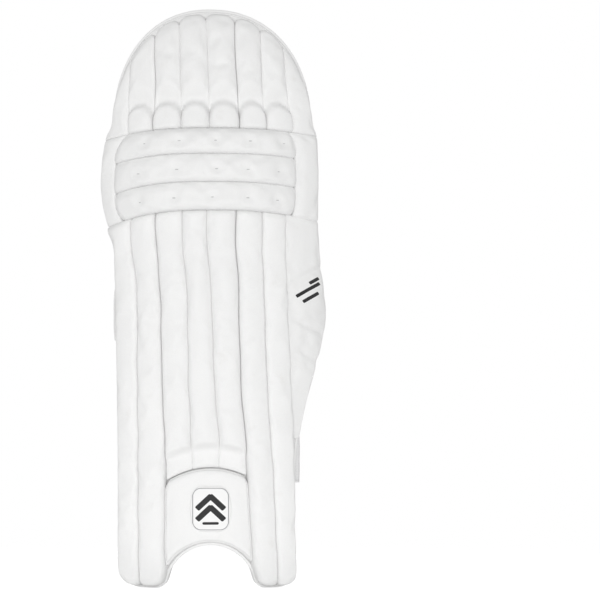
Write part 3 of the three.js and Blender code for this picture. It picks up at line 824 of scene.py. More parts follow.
@dataclass(frozen=True)
class Finish:
    """One material: its surface, colours, relief and prints.

    Sizes and reliefs are millimetres, and mottle, scuff and the painted shades are shares. The
    shadow tone is painted shade, laid in seam folds, grain cracks, weave gaps, mesh holes and
    stitch pits.
    """

    name: str
    surface: Surface = Surface.PEBBLED
    tone: Tone = (0.885, 0.885, 0.88)
    shadow: Tone = (0.5, 0.5, 0.51)
    roughness: float = 0.5
    sheen: float = 0.0
    cell: float = 1.1
    relief: float = 0.05
    wrinkle: float = 0.35
    pucker: float = 0.9
    stitch_inset: float = 0.0
    stitch_pitch: float = 3.4
    prints: tuple[Bar, ...] = ()
    fold_size: float = 34
    mottle_size: float = 12
    mottle: float = 0.22
    faded: float = 0.93
    scuff_size: float = 20
    scuff: float = 0.16
    scuff_tone: Tone = (0.66, 0.64, 0.6)
    scuff_dulls: float = 0.1
    # Shares of painted shade in the shadow tone: in seam folds, in mesh holes, and in grain cracks
    # and weave gaps.
    seam_painted_shade: float = 0.06
    hole_painted_shade: float = 0.35
    grain_painted_shade: float = 0.08
    thread_rise: float = 0.35
    pit_depth: float = 0.5
    # Share of painted shade in the stitch pits.
    pit_painted_shade: float = 0.4
    gloss: float = 0.35

    def _surface(self, w: Wiring, place: object, cloth: object) -> bpy.types.Node | None:
        """The fine structure's group, with its height on the first output.

        Args:
            w: The material's wiring.
            place: Object coordinates.
            cloth: The run map.

        Returns:
            The node, or None on a smooth finish.
        """
        size = self.cell * MM
        if self.surface is Surface.PEBBLED:
            return w.use(pebble_grain(), Vector=place, Size=size)
        if self.surface is Surface.WOVEN:
            return w.use(plain_weave(), Vector=cloth, Pitch=size)
        if self.surface is Surface.KNITTED:
            return w.use(knitted_holes(), Vector=cloth, Pitch=size)
        return None

    def _printed(self, w: Wiring, base: object) -> object:
        """The base colour with the bars laid over it.

        Args:
            w: The material's wiring.
            base: The colour's socket.

        Returns:
            The socket of the printed colour.
        """
        if not self.prints:
            return base
        face = w.add("ShaderNodeUVMap", uv_map="face").outputs[0]
        sheet = w.add("ShaderNodeVectorMath", {0: face, 1: (1 / MM,) * 3}, operation="MULTIPLY")
        for ink in Ink:
            mask = None
            for bar in (b for b in self.prints if b.ink is ink):
                drawn = w.use(
                    round_bar(), Vector=sheet.outputs[0], X=bar.x, Z=bar.z,
                    Half_Width=bar.width / 2, Half_Height=bar.height / 2,
                    Turn=math.radians(bar.turn), Corner=bar.corner, Line=bar.line,
                ).outputs[0]
                mask = drawn if mask is None else w.math("MAXIMUM", mask, drawn)
            if mask is not None:
                base = w.tint(mask, base, ink.value)
        return base

    @cache
    def material(self) -> bpy.types.Material:
        """The finish as a Blender material, made once.

        Returns:
            The material.
        """
        made = bpy.data.materials.new(self.name)
        made.use_nodes = True
        made.node_tree.nodes.clear()
        w = Wiring(made.node_tree)
        place = w.add("ShaderNodeTexCoord").outputs["Object"]
        run = w.add("ShaderNodeUVMap", uv_map="run").outputs[0]
        runs = w.add("ShaderNodeSeparateXYZ", {0: run})
        along = w.math("MULTIPLY", runs.outputs["Y"], 1 / MM)
        seam = w.add("ShaderNodeAttribute", attribute_name="seam").outputs["Fac"]
        crest = w.add("ShaderNodeAttribute", attribute_name="crest").outputs["Fac"]

        cast = w.use(seam_shade(), Seam=seam, Along=along)
        broad = w.noise(place, self.fold_size * MM, 2)
        height = w.math("MULTIPLY", broad, self.wrinkle)
        pucker = w.math("MULTIPLY", cast.outputs["Pucker"], self.pucker)
        height = w.math("ADD", height, pucker)
        mottle = w.math("MULTIPLY", w.noise(place, self.mottle_size * MM, 3), self.mottle)
        colour = w.tint(mottle, self.tone, tuple(self.faded * c for c in self.tone))
        worn = w.ramp(w.noise(place, self.scuff_size * MM, 4), 0.62, 0.8)
        scuff = w.math("MULTIPLY", worn, crest)
        colour = w.tint(w.math("MULTIPLY", scuff, self.scuff), colour, self.scuff_tone)
        rough = w.math("ADD", w.math("MULTIPLY", scuff, self.scuff_dulls), self.roughness)

        fine = self._surface(w, place, run)
        if fine is not None:
            relief = w.math("MULTIPLY", fine.outputs[0], self.relief)
            height = w.math("ADD", height, relief)
            # Painted shade: the grain's cracks, the weave's gaps and the mesh's holes darken
            # towards the shadow tone.
            deep = self.hole_painted_shade if self.surface is Surface.KNITTED else self.grain_painted_shade
            sunk = w.math("MULTIPLY", fine.outputs[1], deep)
            colour = w.tint(sunk, colour, self.shadow)
        colour = self._printed(w, colour)
        # Painted shade: each seam's fold darkens towards the shadow tone.
        shade = w.math("MULTIPLY", cast.outputs["Shade"], self.seam_painted_shade)
        colour = w.tint(shade, colour, self.shadow)
        if self.stitch_inset:
            row = w.use(
                stitch_row(), Along=along, Seam=seam, Inset=self.stitch_inset,
                Pitch=self.stitch_pitch,
            )
            thread = w.math("MULTIPLY", row.outputs["Thread"], self.thread_rise)
            pit = w.math("MULTIPLY", row.outputs["Pit"], self.pit_depth)
            height = w.math("SUBTRACT", w.math("ADD", height, thread), pit)
            # Painted shade in the stitch pits, darkening towards the shadow tone.
            pits = w.math("MULTIPLY", row.outputs["Pit"], self.pit_painted_shade)
            colour = w.tint(pits, colour, self.shadow)
        bump = w.add("ShaderNodeBump", {"Height": height, "Distance": MM, "Strength": 1.0})
        shader = w.add(
            "ShaderNodeBsdfPrincipled",
            {
                "Base Color": colour, "Roughness": rough, "Normal": bump.outputs[0],
                "Sheen Weight": self.sheen, "Specular IOR Level": self.gloss,
            },
        )
        w.add("ShaderNodeOutputMaterial", {"Surface": shader.outputs[0]})
        return made


def block_column(
    x: float, top: float, width: float, lengths: tuple[float, ...], gap: float = 5.0
) -> tuple[Bar, ...]:
    """Printed blocks under each other, with even gaps, from a top height down.

    Args:
        x: Its middle.
        top: Its top.
        width: Its width.
        lengths: The blocks' heights.
        gap: Between two blocks.

    Returns:
        The blocks.
    """
    tops = [top - sum(lengths[:i]) - gap * i for i in range(len(lengths))]
    return tuple(Bar(x, t - n / 2, width, n, corner=2.5) for t, n in zip(tops, lengths))


def chevrons(x: float, top: float, reach: float, stroke: float, drop: float) -> tuple[Bar, ...]:
    """Two printed chevrons, one under the other.

    Args:
        x: Their middle.
        top: The first one's height.
        reach: An arm's width.
        stroke: An arm's thickness.
        drop: From one to the other.

    Returns:
        Their four arms.
    """
    length = reach * math.sqrt(2) + stroke / 2
    return tuple(
        Bar(x + side * reach / 2, z, stroke, length, turn=-45 * side, corner=stroke / 4)
        for z in (top, top - drop)
        for side in (-1, 1)
    )


def stepped_bars() -> Iterator[Bar]:
    """Level printed bars at both sides of the lining, thick grey and thin black by turns.

    Each one reaches further in than the one over it, by the same step.
    """
    outer, top, drop, shortest, step = 114.0, 645, 10.5, 40, 5.0
    for side in (-1, 1):
        for row in range(7):
            width = shortest + step * row
            x, z = side * (outer - width / 2), top - drop * row
            thick, ink = ((8.5, Ink.GREY), (3.5, Ink.BLACK))[row % 2]
            yield Bar(x, z, width, thick, corner=1.5, ink=ink)


LEATHER = Finish("white_leathercloth")
STRAP_LEATHER = Finish("strap_leathercloth", stitch_inset=4.2, pucker=0.5, wrinkle=0.25)
SHIELD_LEATHER = Finish("shield_leathercloth", stitch_inset=2.6, stitch_pitch=3.0)
LINING = Finish(
    "woven_lining", Surface.WOVEN, tone=(0.84, 0.84, 0.835), roughness=0.75, sheen=0.1,
    cell=0.7, relief=0.05, wrinkle=0.5,
)
SPACER_MESH = Finish(
    "knitted_mesh", Surface.KNITTED, tone=(0.84, 0.84, 0.84), roughness=0.85, sheen=0.15,
    cell=2.5, relief=0.45, wrinkle=0.5,
)
WEBBING = Finish(
    "elastic_mesh", Surface.KNITTED, tone=(0.84, 0.84, 0.84), roughness=0.8, sheen=0.1,
    cell=1.9, relief=0.3, wrinkle=0.2, stitch_inset=2.5,
)
PIPING = Finish(
    "edge_piping", tone=(0.88, 0.88, 0.875), roughness=0.42, cell=0.9, relief=0.03,
    wrinkle=0.5, pucker=0.4, stitch_inset=1.6, stitch_pitch=2.8,
)
PLASTIC = Finish(
    "keeper_plastic", Surface.SMOOTH, tone=(0.89, 0.89, 0.885), roughness=0.3, wrinkle=0.06,
    pucker=0.05,
)
THREAD = Finish(
    "tack_thread", Surface.WOVEN, tone=(0.58, 0.58, 0.58), roughness=0.7, cell=0.5, relief=0.1,
    wrinkle=0.0, pucker=0.0,
)
CREST_LINING = Finish(
    "printed_lining", tone=(0.85, 0.85, 0.845), roughness=0.55, wrinkle=0.5, pucker=0.7,
    prints=(
        Bar(5, 637, 52, 82, corner=24, line=3.2),
        *chevrons(5, 650, 15, 7, 14),
        Bar(5, 614, 22, 4, corner=2),
        *stepped_bars(),
    ),
)
BLOCK_LEATHER = Finish(
    "block_printed_leathercloth",
    prints=(
        *block_column(12.6, 403, 27, (14, 5, 5, 14, 23, 5, 5, 14, 14, 5, 5, 23, 5)),
        Bar(12.6, 118, 70, 6, corner=0.5),
        Bar(12.6, 110, 70, 4, corner=0.5, ink=Ink.GREY),
    ),
)
WING_LEATHER = Finish(
    "wing_leathercloth",
    prints=(
        Bar(111, 360, 30, 4, turn=-32, corner=1),
        Bar(114, 351, 20, 4, turn=-32, corner=1),
        Bar(118, 371, 12, 4, turn=-32, corner=1),
    ),
)
BADGE_PLATE = Finish(
    "badge_plate", Surface.SMOOTH, tone=(0.88, 0.88, 0.875), roughness=0.55, wrinkle=0.05,
    pucker=0.05,
    prints=(
        Bar(2, 96, 41, 51, corner=10, line=1.2, ink=Ink.GREY),
        *chevrons(2, 104, 14, 6.5, 13),
        Bar(2, 79, 18, 3.2, corner=1.6),
    ),
)


# Stuffed pads: their surface, and the cloth simulation that swells them

RIM_STEPS = 5

# The distance to a seam that a piece without seams is given
FAR = 10.0


def steps(length: float, pitch: float, rim: float) -> Numbers:
    """Shares of a length from 0 to 1: close together in a rim at each end, even between.

    Args:
        length: The length.
        pitch: Usual step.
        rim: A rim's length.

    Returns:
        The shares, in order.
    """
    rim = min(rim, length / 3)
    near = rim * (1 - np.cos(np.linspace(0, math.pi / 2, RIM_STEPS + 1)))
    count = max(2, round((length - 2 * rim) / pitch))
    middle = np.linspace(rim, length - rim, count + 1)[1:-1]
    return np.concatenate([near, middle, length - near[::-1]]) / length


@dataclass(frozen=True)
class Section:
    """How a pad's height runs across it: a superellipse on a low upright edge.

    Power makes it flatter, and peak is the share of the width where it is highest.
    """

    power: float = 2.4
    edge: float = 0.45
    peak: float = 0.5

    def rise(self, across: Numbers) -> Numbers:
        """The height as a share of the full one, at shares of the width."""
        even = across ** (math.log(0.5) / math.log(self.peak))
        body = (1 - np.abs(2 * even - 1) ** self.power) ** (1 / self.power)
        return self.edge + (1 - self.edge) * body


TUBE = Section()
FLAT = Section(power=6, edge=0.4)


@dataclass(frozen=True)
class Tuck:
    """A dent along a line on the wrap: its depth falls off from the line as a bell curve."""

    start: tuple[float, float]
    end: tuple[float, float]
    width: float
    depth: float

    def sink(self, x: Numbers, z: Numbers) -> Numbers:
        """How deep the dent is at points of the wrap.

        Args:
            x: Width on the wrap.
            z: Height.

        Returns:
            Depths.
        """
        (x0, z0), (x1, z1) = self.start, self.end
        dx, dz = x1 - x0, z1 - z0
        long = max(dx * dx + dz * dz, 1e-9)
        share = np.clip(((x - x0) * dx + (z - z0) * dz) / long, 0, 1)
        away = np.hypot(x - x0 - share * dx, z - z0 - share * dz)
        return self.depth * np.exp(-((away / self.width) ** 2))


@dataclass
class Pad:
    """A stuffed pad on one side of the backing. Lengths are millimetres.

    place gives the width and height on the wrap at shares across and along the pad.
    """

    node: str
    place: Place
    thickness: float
    finish: Finish = LEATHER
    slot: str = "leathercloth"
    section: Section = TUBE
    fill: Numbers = profile("at full", (0, 1), (1, 1))
    relief: Callable[[Numbers, Numbers, Numbers], Numbers] | None = None
    tucks: tuple[Tuck, ...] = ()
    rear: bool = False
    seat: float = 0.6
    pitch: float = 4.4
    ends: tuple[float, float] = (9.0, 9.0)
    corners: tuple[float, float] = (5.0, 5.0)
    end_height: float = 0.5
    uneven: float = 0.35
    softness: float = 0.6
    swell: float = 3.0
    end_rim: float = 9
    side_rim: float = 6
    wave_length: float = 38
    thinnest: float = 0.9

    def skin(self) -> Skin:
        """The pad's closed surface.

        The height is the section's rise, times the fill along it, times a dome at each end.
        Corners narrow the pad near its ends along a quarter circle.

        Returns:
            The surface.
        """
        ends = [WRAP.point(*self.place(np.array(a), np.array(0.5)), 0) for a in (0.0, 1.0)]
        width = float(np.linalg.norm(ends[1] - ends[0]))
        middle = WRAP.point(*self.place(np.full(40, 0.5), np.linspace(0, 1, 40)), 0)
        length = float(np.linalg.norm(np.diff(middle, axis=0), axis=1).sum())
        along, across = np.meshgrid(
            steps(length, self.pitch, self.end_rim),
            steps(width, self.pitch, self.side_rim),
            indexing="ij",
        )
        narrow = np.ones_like(along)
        full = follow(self.fill, "full", along)
        for from_end, reach, corner in (
            (along * length, self.ends[0], self.corners[0]),
            ((1 - along) * length, self.ends[1], self.corners[1]),
        ):
            narrow -= 2 * corner / width * (1 - dome(from_end, corner, 2))
            full = full * mix(self.end_height, 1, dome(from_end, reach))
        x, z = self.place(0.5 + (across - 0.5) * narrow, along)
        rise = self.section.rise(across)
        height = self.thickness * rise * full
        if self.relief:
            height = height * self.relief(x, z, across)
        crest = rise * full
        sunk = sum((tuck.sink(x, z) for tuck in self.tucks), np.zeros_like(x))
        seed = sum(map(ord, self.node))
        wave = self.uneven * ripple(x, z, seed, self.wave_length) * crest
        height = np.maximum(height - sunk + wave, self.thinnest)
        sign = -1 if self.rear else 1
        base = -BACKING if self.rear else 0.0
        front = WRAP.point(x, z, base + sign * (self.seat + height))
        back = WRAP.point(x, z, base + sign * self.seat + np.zeros_like(x))
        sides = np.minimum(across, 1 - across) * width * narrow
        seam = np.minimum(sides, np.minimum(along, 1 - along) * length)
        border = np.zeros_like(x, bool)
        border[[0, -1]] = border[:, [0, -1]] = True
        sewn = border | (sunk > 0.5 * max([t.depth for t in self.tucks], default=1))
        flat = np.stack([x, z], -1)
        run = np.stack([across * width, along * length], -1)
        out = sign * WRAP.normal(x, z)

        def both(face: Numbers, seat: Numbers) -> Numbers:
            """Values on the pad's face, and after them those on its seat."""
            return np.concatenate([face.reshape(x.size, -1), seat.reshape(x.size, -1)])

        return Skin(
            points=both(front, back),
            faces=pillow_faces(*x.shape),
            face_map=both(flat, flat),
            run_map=both(run, run),
            seam=both(seam, np.zeros_like(seam))[:, 0],
            crest=both(crest, np.zeros_like(crest))[:, 0],
            sewn=both(sewn, np.ones_like(sewn))[:, 0],
            normal=both(out, out),
        )


@dataclass
class Cover:
    """A pad that has been made: its object, its surface and what it was made from."""

    piece: bpy.types.Object
    skin: Skin
    pad: Pad


def make_piece(name: str, skin: Skin, node: str, finish: Finish) -> bpy.types.Object:
    """Makes a piece with its material, and says what it stands for and rides on.

    Args:
        name: The piece's name.
        skin: Its closed surface.
        node: The node that it stands for.
        finish: Its finish.

    Returns:
        The piece.
    """
    piece = mesh_object(name, skin)
    piece.data.materials.append(finish.material())
    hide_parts(node)
    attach(piece, "root")
    LOG.info("%s stands for %s, in %s", piece.name, node, finish.name)
    return piece


def smooth_out(piece: bpy.types.Object, levels: int = 1) -> None:
    """Adds a subdivision surface of the same levels in views and renders."""
    fine = piece.modifiers.new("fine", "SUBSURF")
    fine.levels = fine.render_levels = levels


def make_pad(pad: Pad) -> Cover:
    """Makes one pad's cover, still to be swollen.

    Args:
        pad: What to make.

    Returns:
        The cover.
    """
    skin = pad.skin()
    piece = make_piece(f"{pad.node}_cover", skin, pad.node, pad.finish)
    return Cover(piece, skin, pad)


@dataclass(frozen=True)
class Swelling:
    """The cloth simulation that swells every pad inside its seams.

    Points may move out by the pad's own limit, inward by a share of it, and sideways by a
    distance that grows with slip away from the seams.
    """

    frames: int = 20
    quality: int = 5
    cloth_mass: float = 0.15
    stretch: float = 15
    shear: float = 6
    bend: float = 0.6
    pressure: float = 4.0
    spare_cloth: float = 0.035
    inward: float = 0.3
    sideways: float = 0.3
    slip: float = 0.06
    seam_reach: float = 7

    def _add_cloth(self, cover: Cover) -> None:
        """Gives a cover its cloth, sewn down along its seams and its seat."""
        sewn = cover.piece.vertex_groups.new(name="sewn")
        sewn.add(np.flatnonzero(cover.skin.sewn).tolist(), 1.0, "REPLACE")
        cloth = cover.piece.modifiers.new("cloth", "CLOTH")
        cloth.point_cache.frame_end = self.frames
        cloth.collision_settings.use_collision = False
        how = cloth.settings
        how.vertex_group_mass = "sewn"
        how.quality = self.quality
        how.mass = self.cloth_mass
        how.tension_stiffness = how.compression_stiffness = self.stretch
        how.shear_stiffness = self.shear
        how.bending_stiffness = self.bend
        how.shrink_min = -self.spare_cloth
        how.use_pressure = True
        how.uniform_pressure_force = self.pressure
        how.effector_weights.gravity = 0

    def _keep_in_place(self, cover: Cover, swollen: Numbers) -> Numbers:
        """The swollen points, held to how far they may move.

        A move is split into out from the wrap and along it. Each part is shortened to its
        limit, and both fade out towards the seams. A print is kept from being pulled about.

        Args:
            cover: The cover.
            swollen: Its points, in metres.

        Returns:
            The points that it keeps, in metres.
        """
        skin, limit = cover.skin, cover.pad.swell
        rest = (skin.points + model_shift()) * MM
        moved = (swollen - rest) / MM
        out = np.einsum("ij,ij->i", moved, skin.normal)
        side = moved - out[:, None] * skin.normal
        free = ease(skin.seam / self.seam_reach)
        out = np.clip(out, -self.inward * limit, limit) * free
        length = np.maximum(np.linalg.norm(side, axis=1), 1e-9)
        slip = 0 if cover.pad.finish.prints else self.slip
        reach = self.sideways + slip * skin.seam
        side *= (np.minimum(1, reach / length) * free)[:, None]
        return rest + (out[:, None] * skin.normal + side) * MM

    def run(self, covers: list[Cover]) -> None:
        """Simulates all covers at once, keeps the result as their mesh and smooths it.

        Args:
            covers: All covers of the pad.
        """
        scene = bpy.context.scene
        for cover in covers:
            self._add_cloth(cover)
        for step in range(1, self.frames + 1):
            scene.frame_set(step)
        graph = bpy.context.evaluated_depsgraph_get()
        results = [mesh_points(cover.piece.evaluated_get(graph).data) for cover in covers]
        for cover, swollen in zip(covers, results):
            cover.piece.modifiers.clear()
            held = self._keep_in_place(cover, swollen)
            cover.piece.data.vertices.foreach_set("co", held.astype(np.float32).ravel())
            cover.piece.data.update()
        scene.frame_set(1)
        for cover in covers:
            smooth_out(cover.piece)


def column(left: Line, right: Line, bottom: Line, top: Line) -> Place:
    """A column between two side lines, from its bottom line to its top line.

    Args:
        left: Side line over height.
        right: Side line over height.
        bottom: End line over width.
        top: End line over width.

    Returns:
        Width and height at shares across and along it.
    """

    def place(across: Numbers, along: Numbers) -> tuple[Numbers, Numbers]:
        """Width and height at shares across and along: each end is found where it lies."""
        lowest = bottom(mix(left(0.0), right(0.0), across))
        start_x = mix(left(lowest), right(lowest), across)
        start = bottom(start_x)
        highest = top(start_x)
        end = top(mix(left(highest), right(highest), across))
        z = mix(start, end, along)
        return mix(left(z), right(z), across), z

    return place


def between(i: int) -> tuple[Line, Line]:
    """The side lines of the i-th column across the face."""
    return (
        lambda z: PATTERN.seam(i - 1, z) + SEAM_GAPS[i - 1] / 2,
        lambda z: np.minimum(PATTERN.seam(i, z), PATTERN.wing(z)) - SEAM_GAPS[i] / 2,
    )


@dataclass
class ShinFace:
    """The seven ribs down the shin. The three in the middle end on the instep shield."""

    ribs: int = 7
    thickness: float = 19.5
    shielded: tuple[int, ...] = (3, 4, 5)
    step_from: float = 23
    step_run: float = 9
    step_depth: float = 0.5
    binding_shows: float = 2.5

    def _foot_step(self, x: Numbers, z: Numbers, across: Numbers) -> Numbers:
        """Ribs are flatter in a short stretch above the shield, and ease up out of it."""
        above = z - PATTERN.shield(x)
        return mix(self.step_depth, 1, ease((above - self.step_from) / self.step_run))

    def _rib(self, i: int) -> Pad:
        """One rib."""
        over_shield = i in self.shielded

        def low(x: Numbers) -> Numbers:
            """The rib's lower end: at the shield's edge, or at the foot of the outline."""
            if over_shield:
                return PATTERN.shield(x) + SEAM_GAP
            return PATTERN.foot(x, 0) + self.binding_shows

        return Pad(
            f"shin_rib_{i}",
            column(*between(i), low, lambda x: PATTERN.rolls_foot(x) - COVER_GAP),
            self.thickness,
            relief=self._foot_step if over_shield else None,
            ends=(8 if over_shield else 14, 12),
            corners=(1.5 if over_shield else 6, 1.5),
            uneven=0.5,
        )

    def build(self) -> list[Cover]:
        """Makes the ribs."""
        return [make_pad(self._rib(i)) for i in range(1, self.ribs + 1)]


@dataclass
class Instep:
    """The shield over the instep arch, and the plate on it."""

    shield_thickness: float = 12.5
    solid_shield: float = 13
    badge: tuple[float, float] = (46, 56)
    badge_bulge: float = 0.42
    badge_middle: float = 96
    badge_thickness: float = 1.8
    badge_gap: float = 0.5

    def _badge_place(self, across: Numbers, along: Numbers) -> tuple[Numbers, Numbers]:
        """A barrel shape: the half width is the root of a cosine over the height."""
        angle = mix(-self.badge_bulge, self.badge_bulge, along) * math.pi
        half = self.badge[0] / 2 * np.sqrt(np.cos(angle))
        height = self.badge_middle + self.badge[1] / 2 * np.sin(angle)
        return PATTERN.arch_centre + mix(-half, half, across), height

    def build(self) -> list[Cover]:
        """Makes the shield and the plate.

        Returns:
            Their covers.
        """
        half = COVER_GAP / 2
        shield = Pad(
            "instep_shield",
            column(
                lambda z: PATTERN.seam(2, z) + half,
                lambda z: PATTERN.seam(5, z) - half,
                lambda x: PATTERN.foot(x, 3.5), PATTERN.shield,
            ),
            self.shield_thickness,
            finish=SHIELD_LEATHER, section=FLAT, ends=(8, 10), corners=(4, 9),
            uneven=0.5, softness=0.7, swell=0.4,
        )
        plate = Pad(
            "shield_badge",
            self._badge_place,
            self.badge_thickness,
            finish=BADGE_PLATE, slot="badge", section=Section(power=8, edge=0.5),
            seat=Pad.seat + self.solid_shield + self.badge_gap, ends=(2, 2),
            corners=(0.1, 0.1), end_height=0.6, uneven=0, pitch=3, softness=1, swell=0,
        )
        return [make_pad(shield), make_pad(plate)]


@dataclass
class CalfWing:
    """The soft wing beside the shin, with three slanted lines of quilting."""

    thickness: float = 10.5
    tip: float = 180
    fill: Numbers = profile(
        "at full", (0, 0.3), (0.1, 0.45), (0.2, 0.7), (0.3, 0.9), (0.4, 1), (1, 1)
    )
    quilting: tuple[Tuck, ...] = (
        Tuck((98, 371), (126, 386), 3.5, 2.4),
        Tuck((99, 324), (126, 309), 3.5, 2.6),
        Tuck((104, 287), (124, 273), 3.5, 2.4),
    )

    def build(self) -> list[Cover]:
        """Makes the wing.

        Returns:
            Its cover.
        """
        pad = Pad(
            "calf_wing",
            column(
                lambda z: PATTERN.seam(PATTERN.columns - 1, z) + COVER_GAP / 2,
                lambda z: PATTERN.wing(z) - 1,
                steady(self.tip), lambda x: PATTERN.rolls_foot(x) - COVER_GAP,
            ),
            self.thickness,
            finish=WING_LEATHER, section=FLAT, fill=self.fill, tucks=self.quilting,
            seat=0.95, ends=(9, 5), corners=(5, 1), end_height=0.7, uneven=0.6,
            softness=0.4, swell=1.2,
        )
        return [make_pad(pad)]


@dataclass
class KneeRolls:
    """Three rolls across the knee with five tacks in each, and a pad at each end of them."""

    thickness: float = 31
    side_thickness: float = 12.5
    tack_across: float = 0.47
    tack_size: tuple[float, float] = (5.6, 1.6)
    tack_lift: float = 0.5
    dent: tuple[float, float] = (4.2, 3.6)
    dent_half_length: float = 2
    wing_cut: float = 0.5
    tacks: tuple[tuple[float, ...], ...] = (
        (-0.501, -0.227, 0.056, 0.309, 0.561),
        (-0.522, -0.238, 0.063, 0.296, 0.532),
        (-0.535, -0.268, 0.022, 0.294, 0.51),
    )
    fill: Numbers = profile(
        "at full", (0, 0.55), (0.08, 0.72), (0.15, 0.84), (0.24, 0.94), (0.34, 0.99),
        (0.5, 1), (0.66, 0.99), (0.76, 0.94), (0.85, 0.84), (0.92, 0.72), (1, 0.55),
    )

    def _place(self, k: int) -> Place:
        """Width and height on the k-th roll, counted from the top."""

        def place(across: Numbers, along: Numbers) -> tuple[Numbers, Numbers]:
            """Straight between the roll's lower and upper boundaries."""
            reach = -PATTERN.inner_reach
            at_end = mix(PATTERN.roll(k + 1, reach), PATTERN.roll(k, reach), across)
            cut = PATTERN.rolls_end(at_end)
            x = mix(reach + cut, PATTERN.wing_reach - self.wing_cut * cut, along)
            low = PATTERN.roll(k + 1, x) + COVER_GAP / 2
            return x, mix(low, PATTERN.roll(k, x) - COVER_GAP / 2, across)

        return place

    def _spots(self, k: int) -> Numbers:
        """Where the roll's tacks are: width and height on the wrap.

        Args:
            k: The roll, 0 at the top.

        Returns:
            One row for each tack.
        """
        reach = PATTERN.inner_reach + PATTERN.wing_reach
        x = np.array(self.tacks[k]) * WRAP.half_width
        return np.stack(self._place(k)(self.tack_across, (x + PATTERN.inner_reach) / reach), -1)

    def _roll(self, k: int) -> Pad:
        """One roll. It hangs a little, so that it is fullest below its middle."""
        half = self.dent_half_length
        return Pad(
            f"knee_roll_{k + 1}",
            self._place(k),
            self.thickness,
            section=Section(power=2.3, edge=0.58, peak=0.36),
            fill=self.fill,
            tucks=tuple(
                Tuck((x - half, z), (x + half, z), *self.dent) for x, z in self._spots(k).tolist()
            ),
            ends=(14, 14), corners=(5, 5), end_height=0.5, uneven=0.5, softness=0.7,
        )

    def _side(self, node: str, left: Line, right: Line) -> Pad:
        """The pad at one end of the rolls.

        Args:
            node: The node that it stands for.
            left: Side line.
            right: Side line.

        Returns:
            The pad.
        """
        half = COVER_GAP / 2
        return Pad(
            node,
            column(
                left, right,
                lambda x: PATTERN.rolls_foot(x) + half, lambda x: PATTERN.roll(0, x) - half,
            ),
            self.side_thickness,
            section=Section(power=3.5, edge=0.4), ends=(6, 6), corners=(1, 1),
            end_height=0.65, uneven=0.6, swell=1.5,
        )

    def _tacks(self, covers: list[Cover]) -> None:
        """The fifteen tacks as one mesh: small capsules of thread in their dents.

        A capsule is an ellipsoid over two angles, longer along the roll than across it.
        """
        turn = np.linspace(0, 2 * math.pi, 10, endpoint=False)
        rise = np.linspace(-math.pi / 2, math.pi / 2, 9)[1:-1, None]
        long, thick = self.tack_size
        ball = np.stack(
            np.broadcast_arrays(
                long / 2 * np.sin(rise) + 0 * turn,
                thick / 2 * np.cos(rise) * np.cos(turn),
                thick / 2 * np.cos(rise) * np.sin(turn),
            ),
            -1,
        ).reshape(-1, 3)
        capsule = sweep_faces(len(rise), len(turn), False)
        tacks, faces = [], []
        for k, cover in enumerate(covers):
            top = mesh_points(cover.piece.data) / MM - model_shift()
            top = top[: len(top) // 2]
            flat = cover.skin.face_map[: len(top)]
            for x, z in self._spots(k):
                nearest = top[np.argmin(np.hypot(*(flat - (x, z)).T))]
                out = WRAP.normal(x, z)
                axes = np.stack([[-out[1], out[0], 0], out, [0, 0, 1]])
                faces += [[i + len(tacks) * len(ball) for i in f] for f in capsule]
                tacks.append(nearest + self.tack_lift * out + ball @ axes)
        points = np.concatenate(tacks)
        flat = points[:, [0, 2]]
        unsewn = np.full(len(points), FAR)
        skin = Skin(points, faces, flat, flat, unsewn, unsewn)
        piece = mesh_object("knee_roll_tacks", skin)
        piece.data.materials.append(THREAD.material())
        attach(piece, "root")
        smooth_out(piece)
        LOG.info("%s: %d tacks", piece.name, len(tacks))

    def build(self) -> list[Cover]:
        """Makes the rolls and the pads beside them.

        Returns:
            Their covers.
        """
        self.rolls = [make_pad(self._roll(k)) for k in range(PATTERN.roll_count)]
        inner = self._side(
            "knee_side_inner",
            lambda z: PATTERN.inner(z) + 1,
            lambda z: PATTERN.rolls_end(z) - PATTERN.inner_reach - COVER_GAP,
        )
        wing = self._side(
            "knee_side_wing",
            lambda z: PATTERN.wing_reach - self.wing_cut * PATTERN.rolls_end(z) + COVER_GAP,
            lambda z: PATTERN.wing(z) - 1,
        )
        return [*self.rolls, make_pad(inner), make_pad(wing)]

    def add_tacks(self) -> None:
        """Sews the tacks into the swollen rolls."""
        self._tacks(self.rolls)


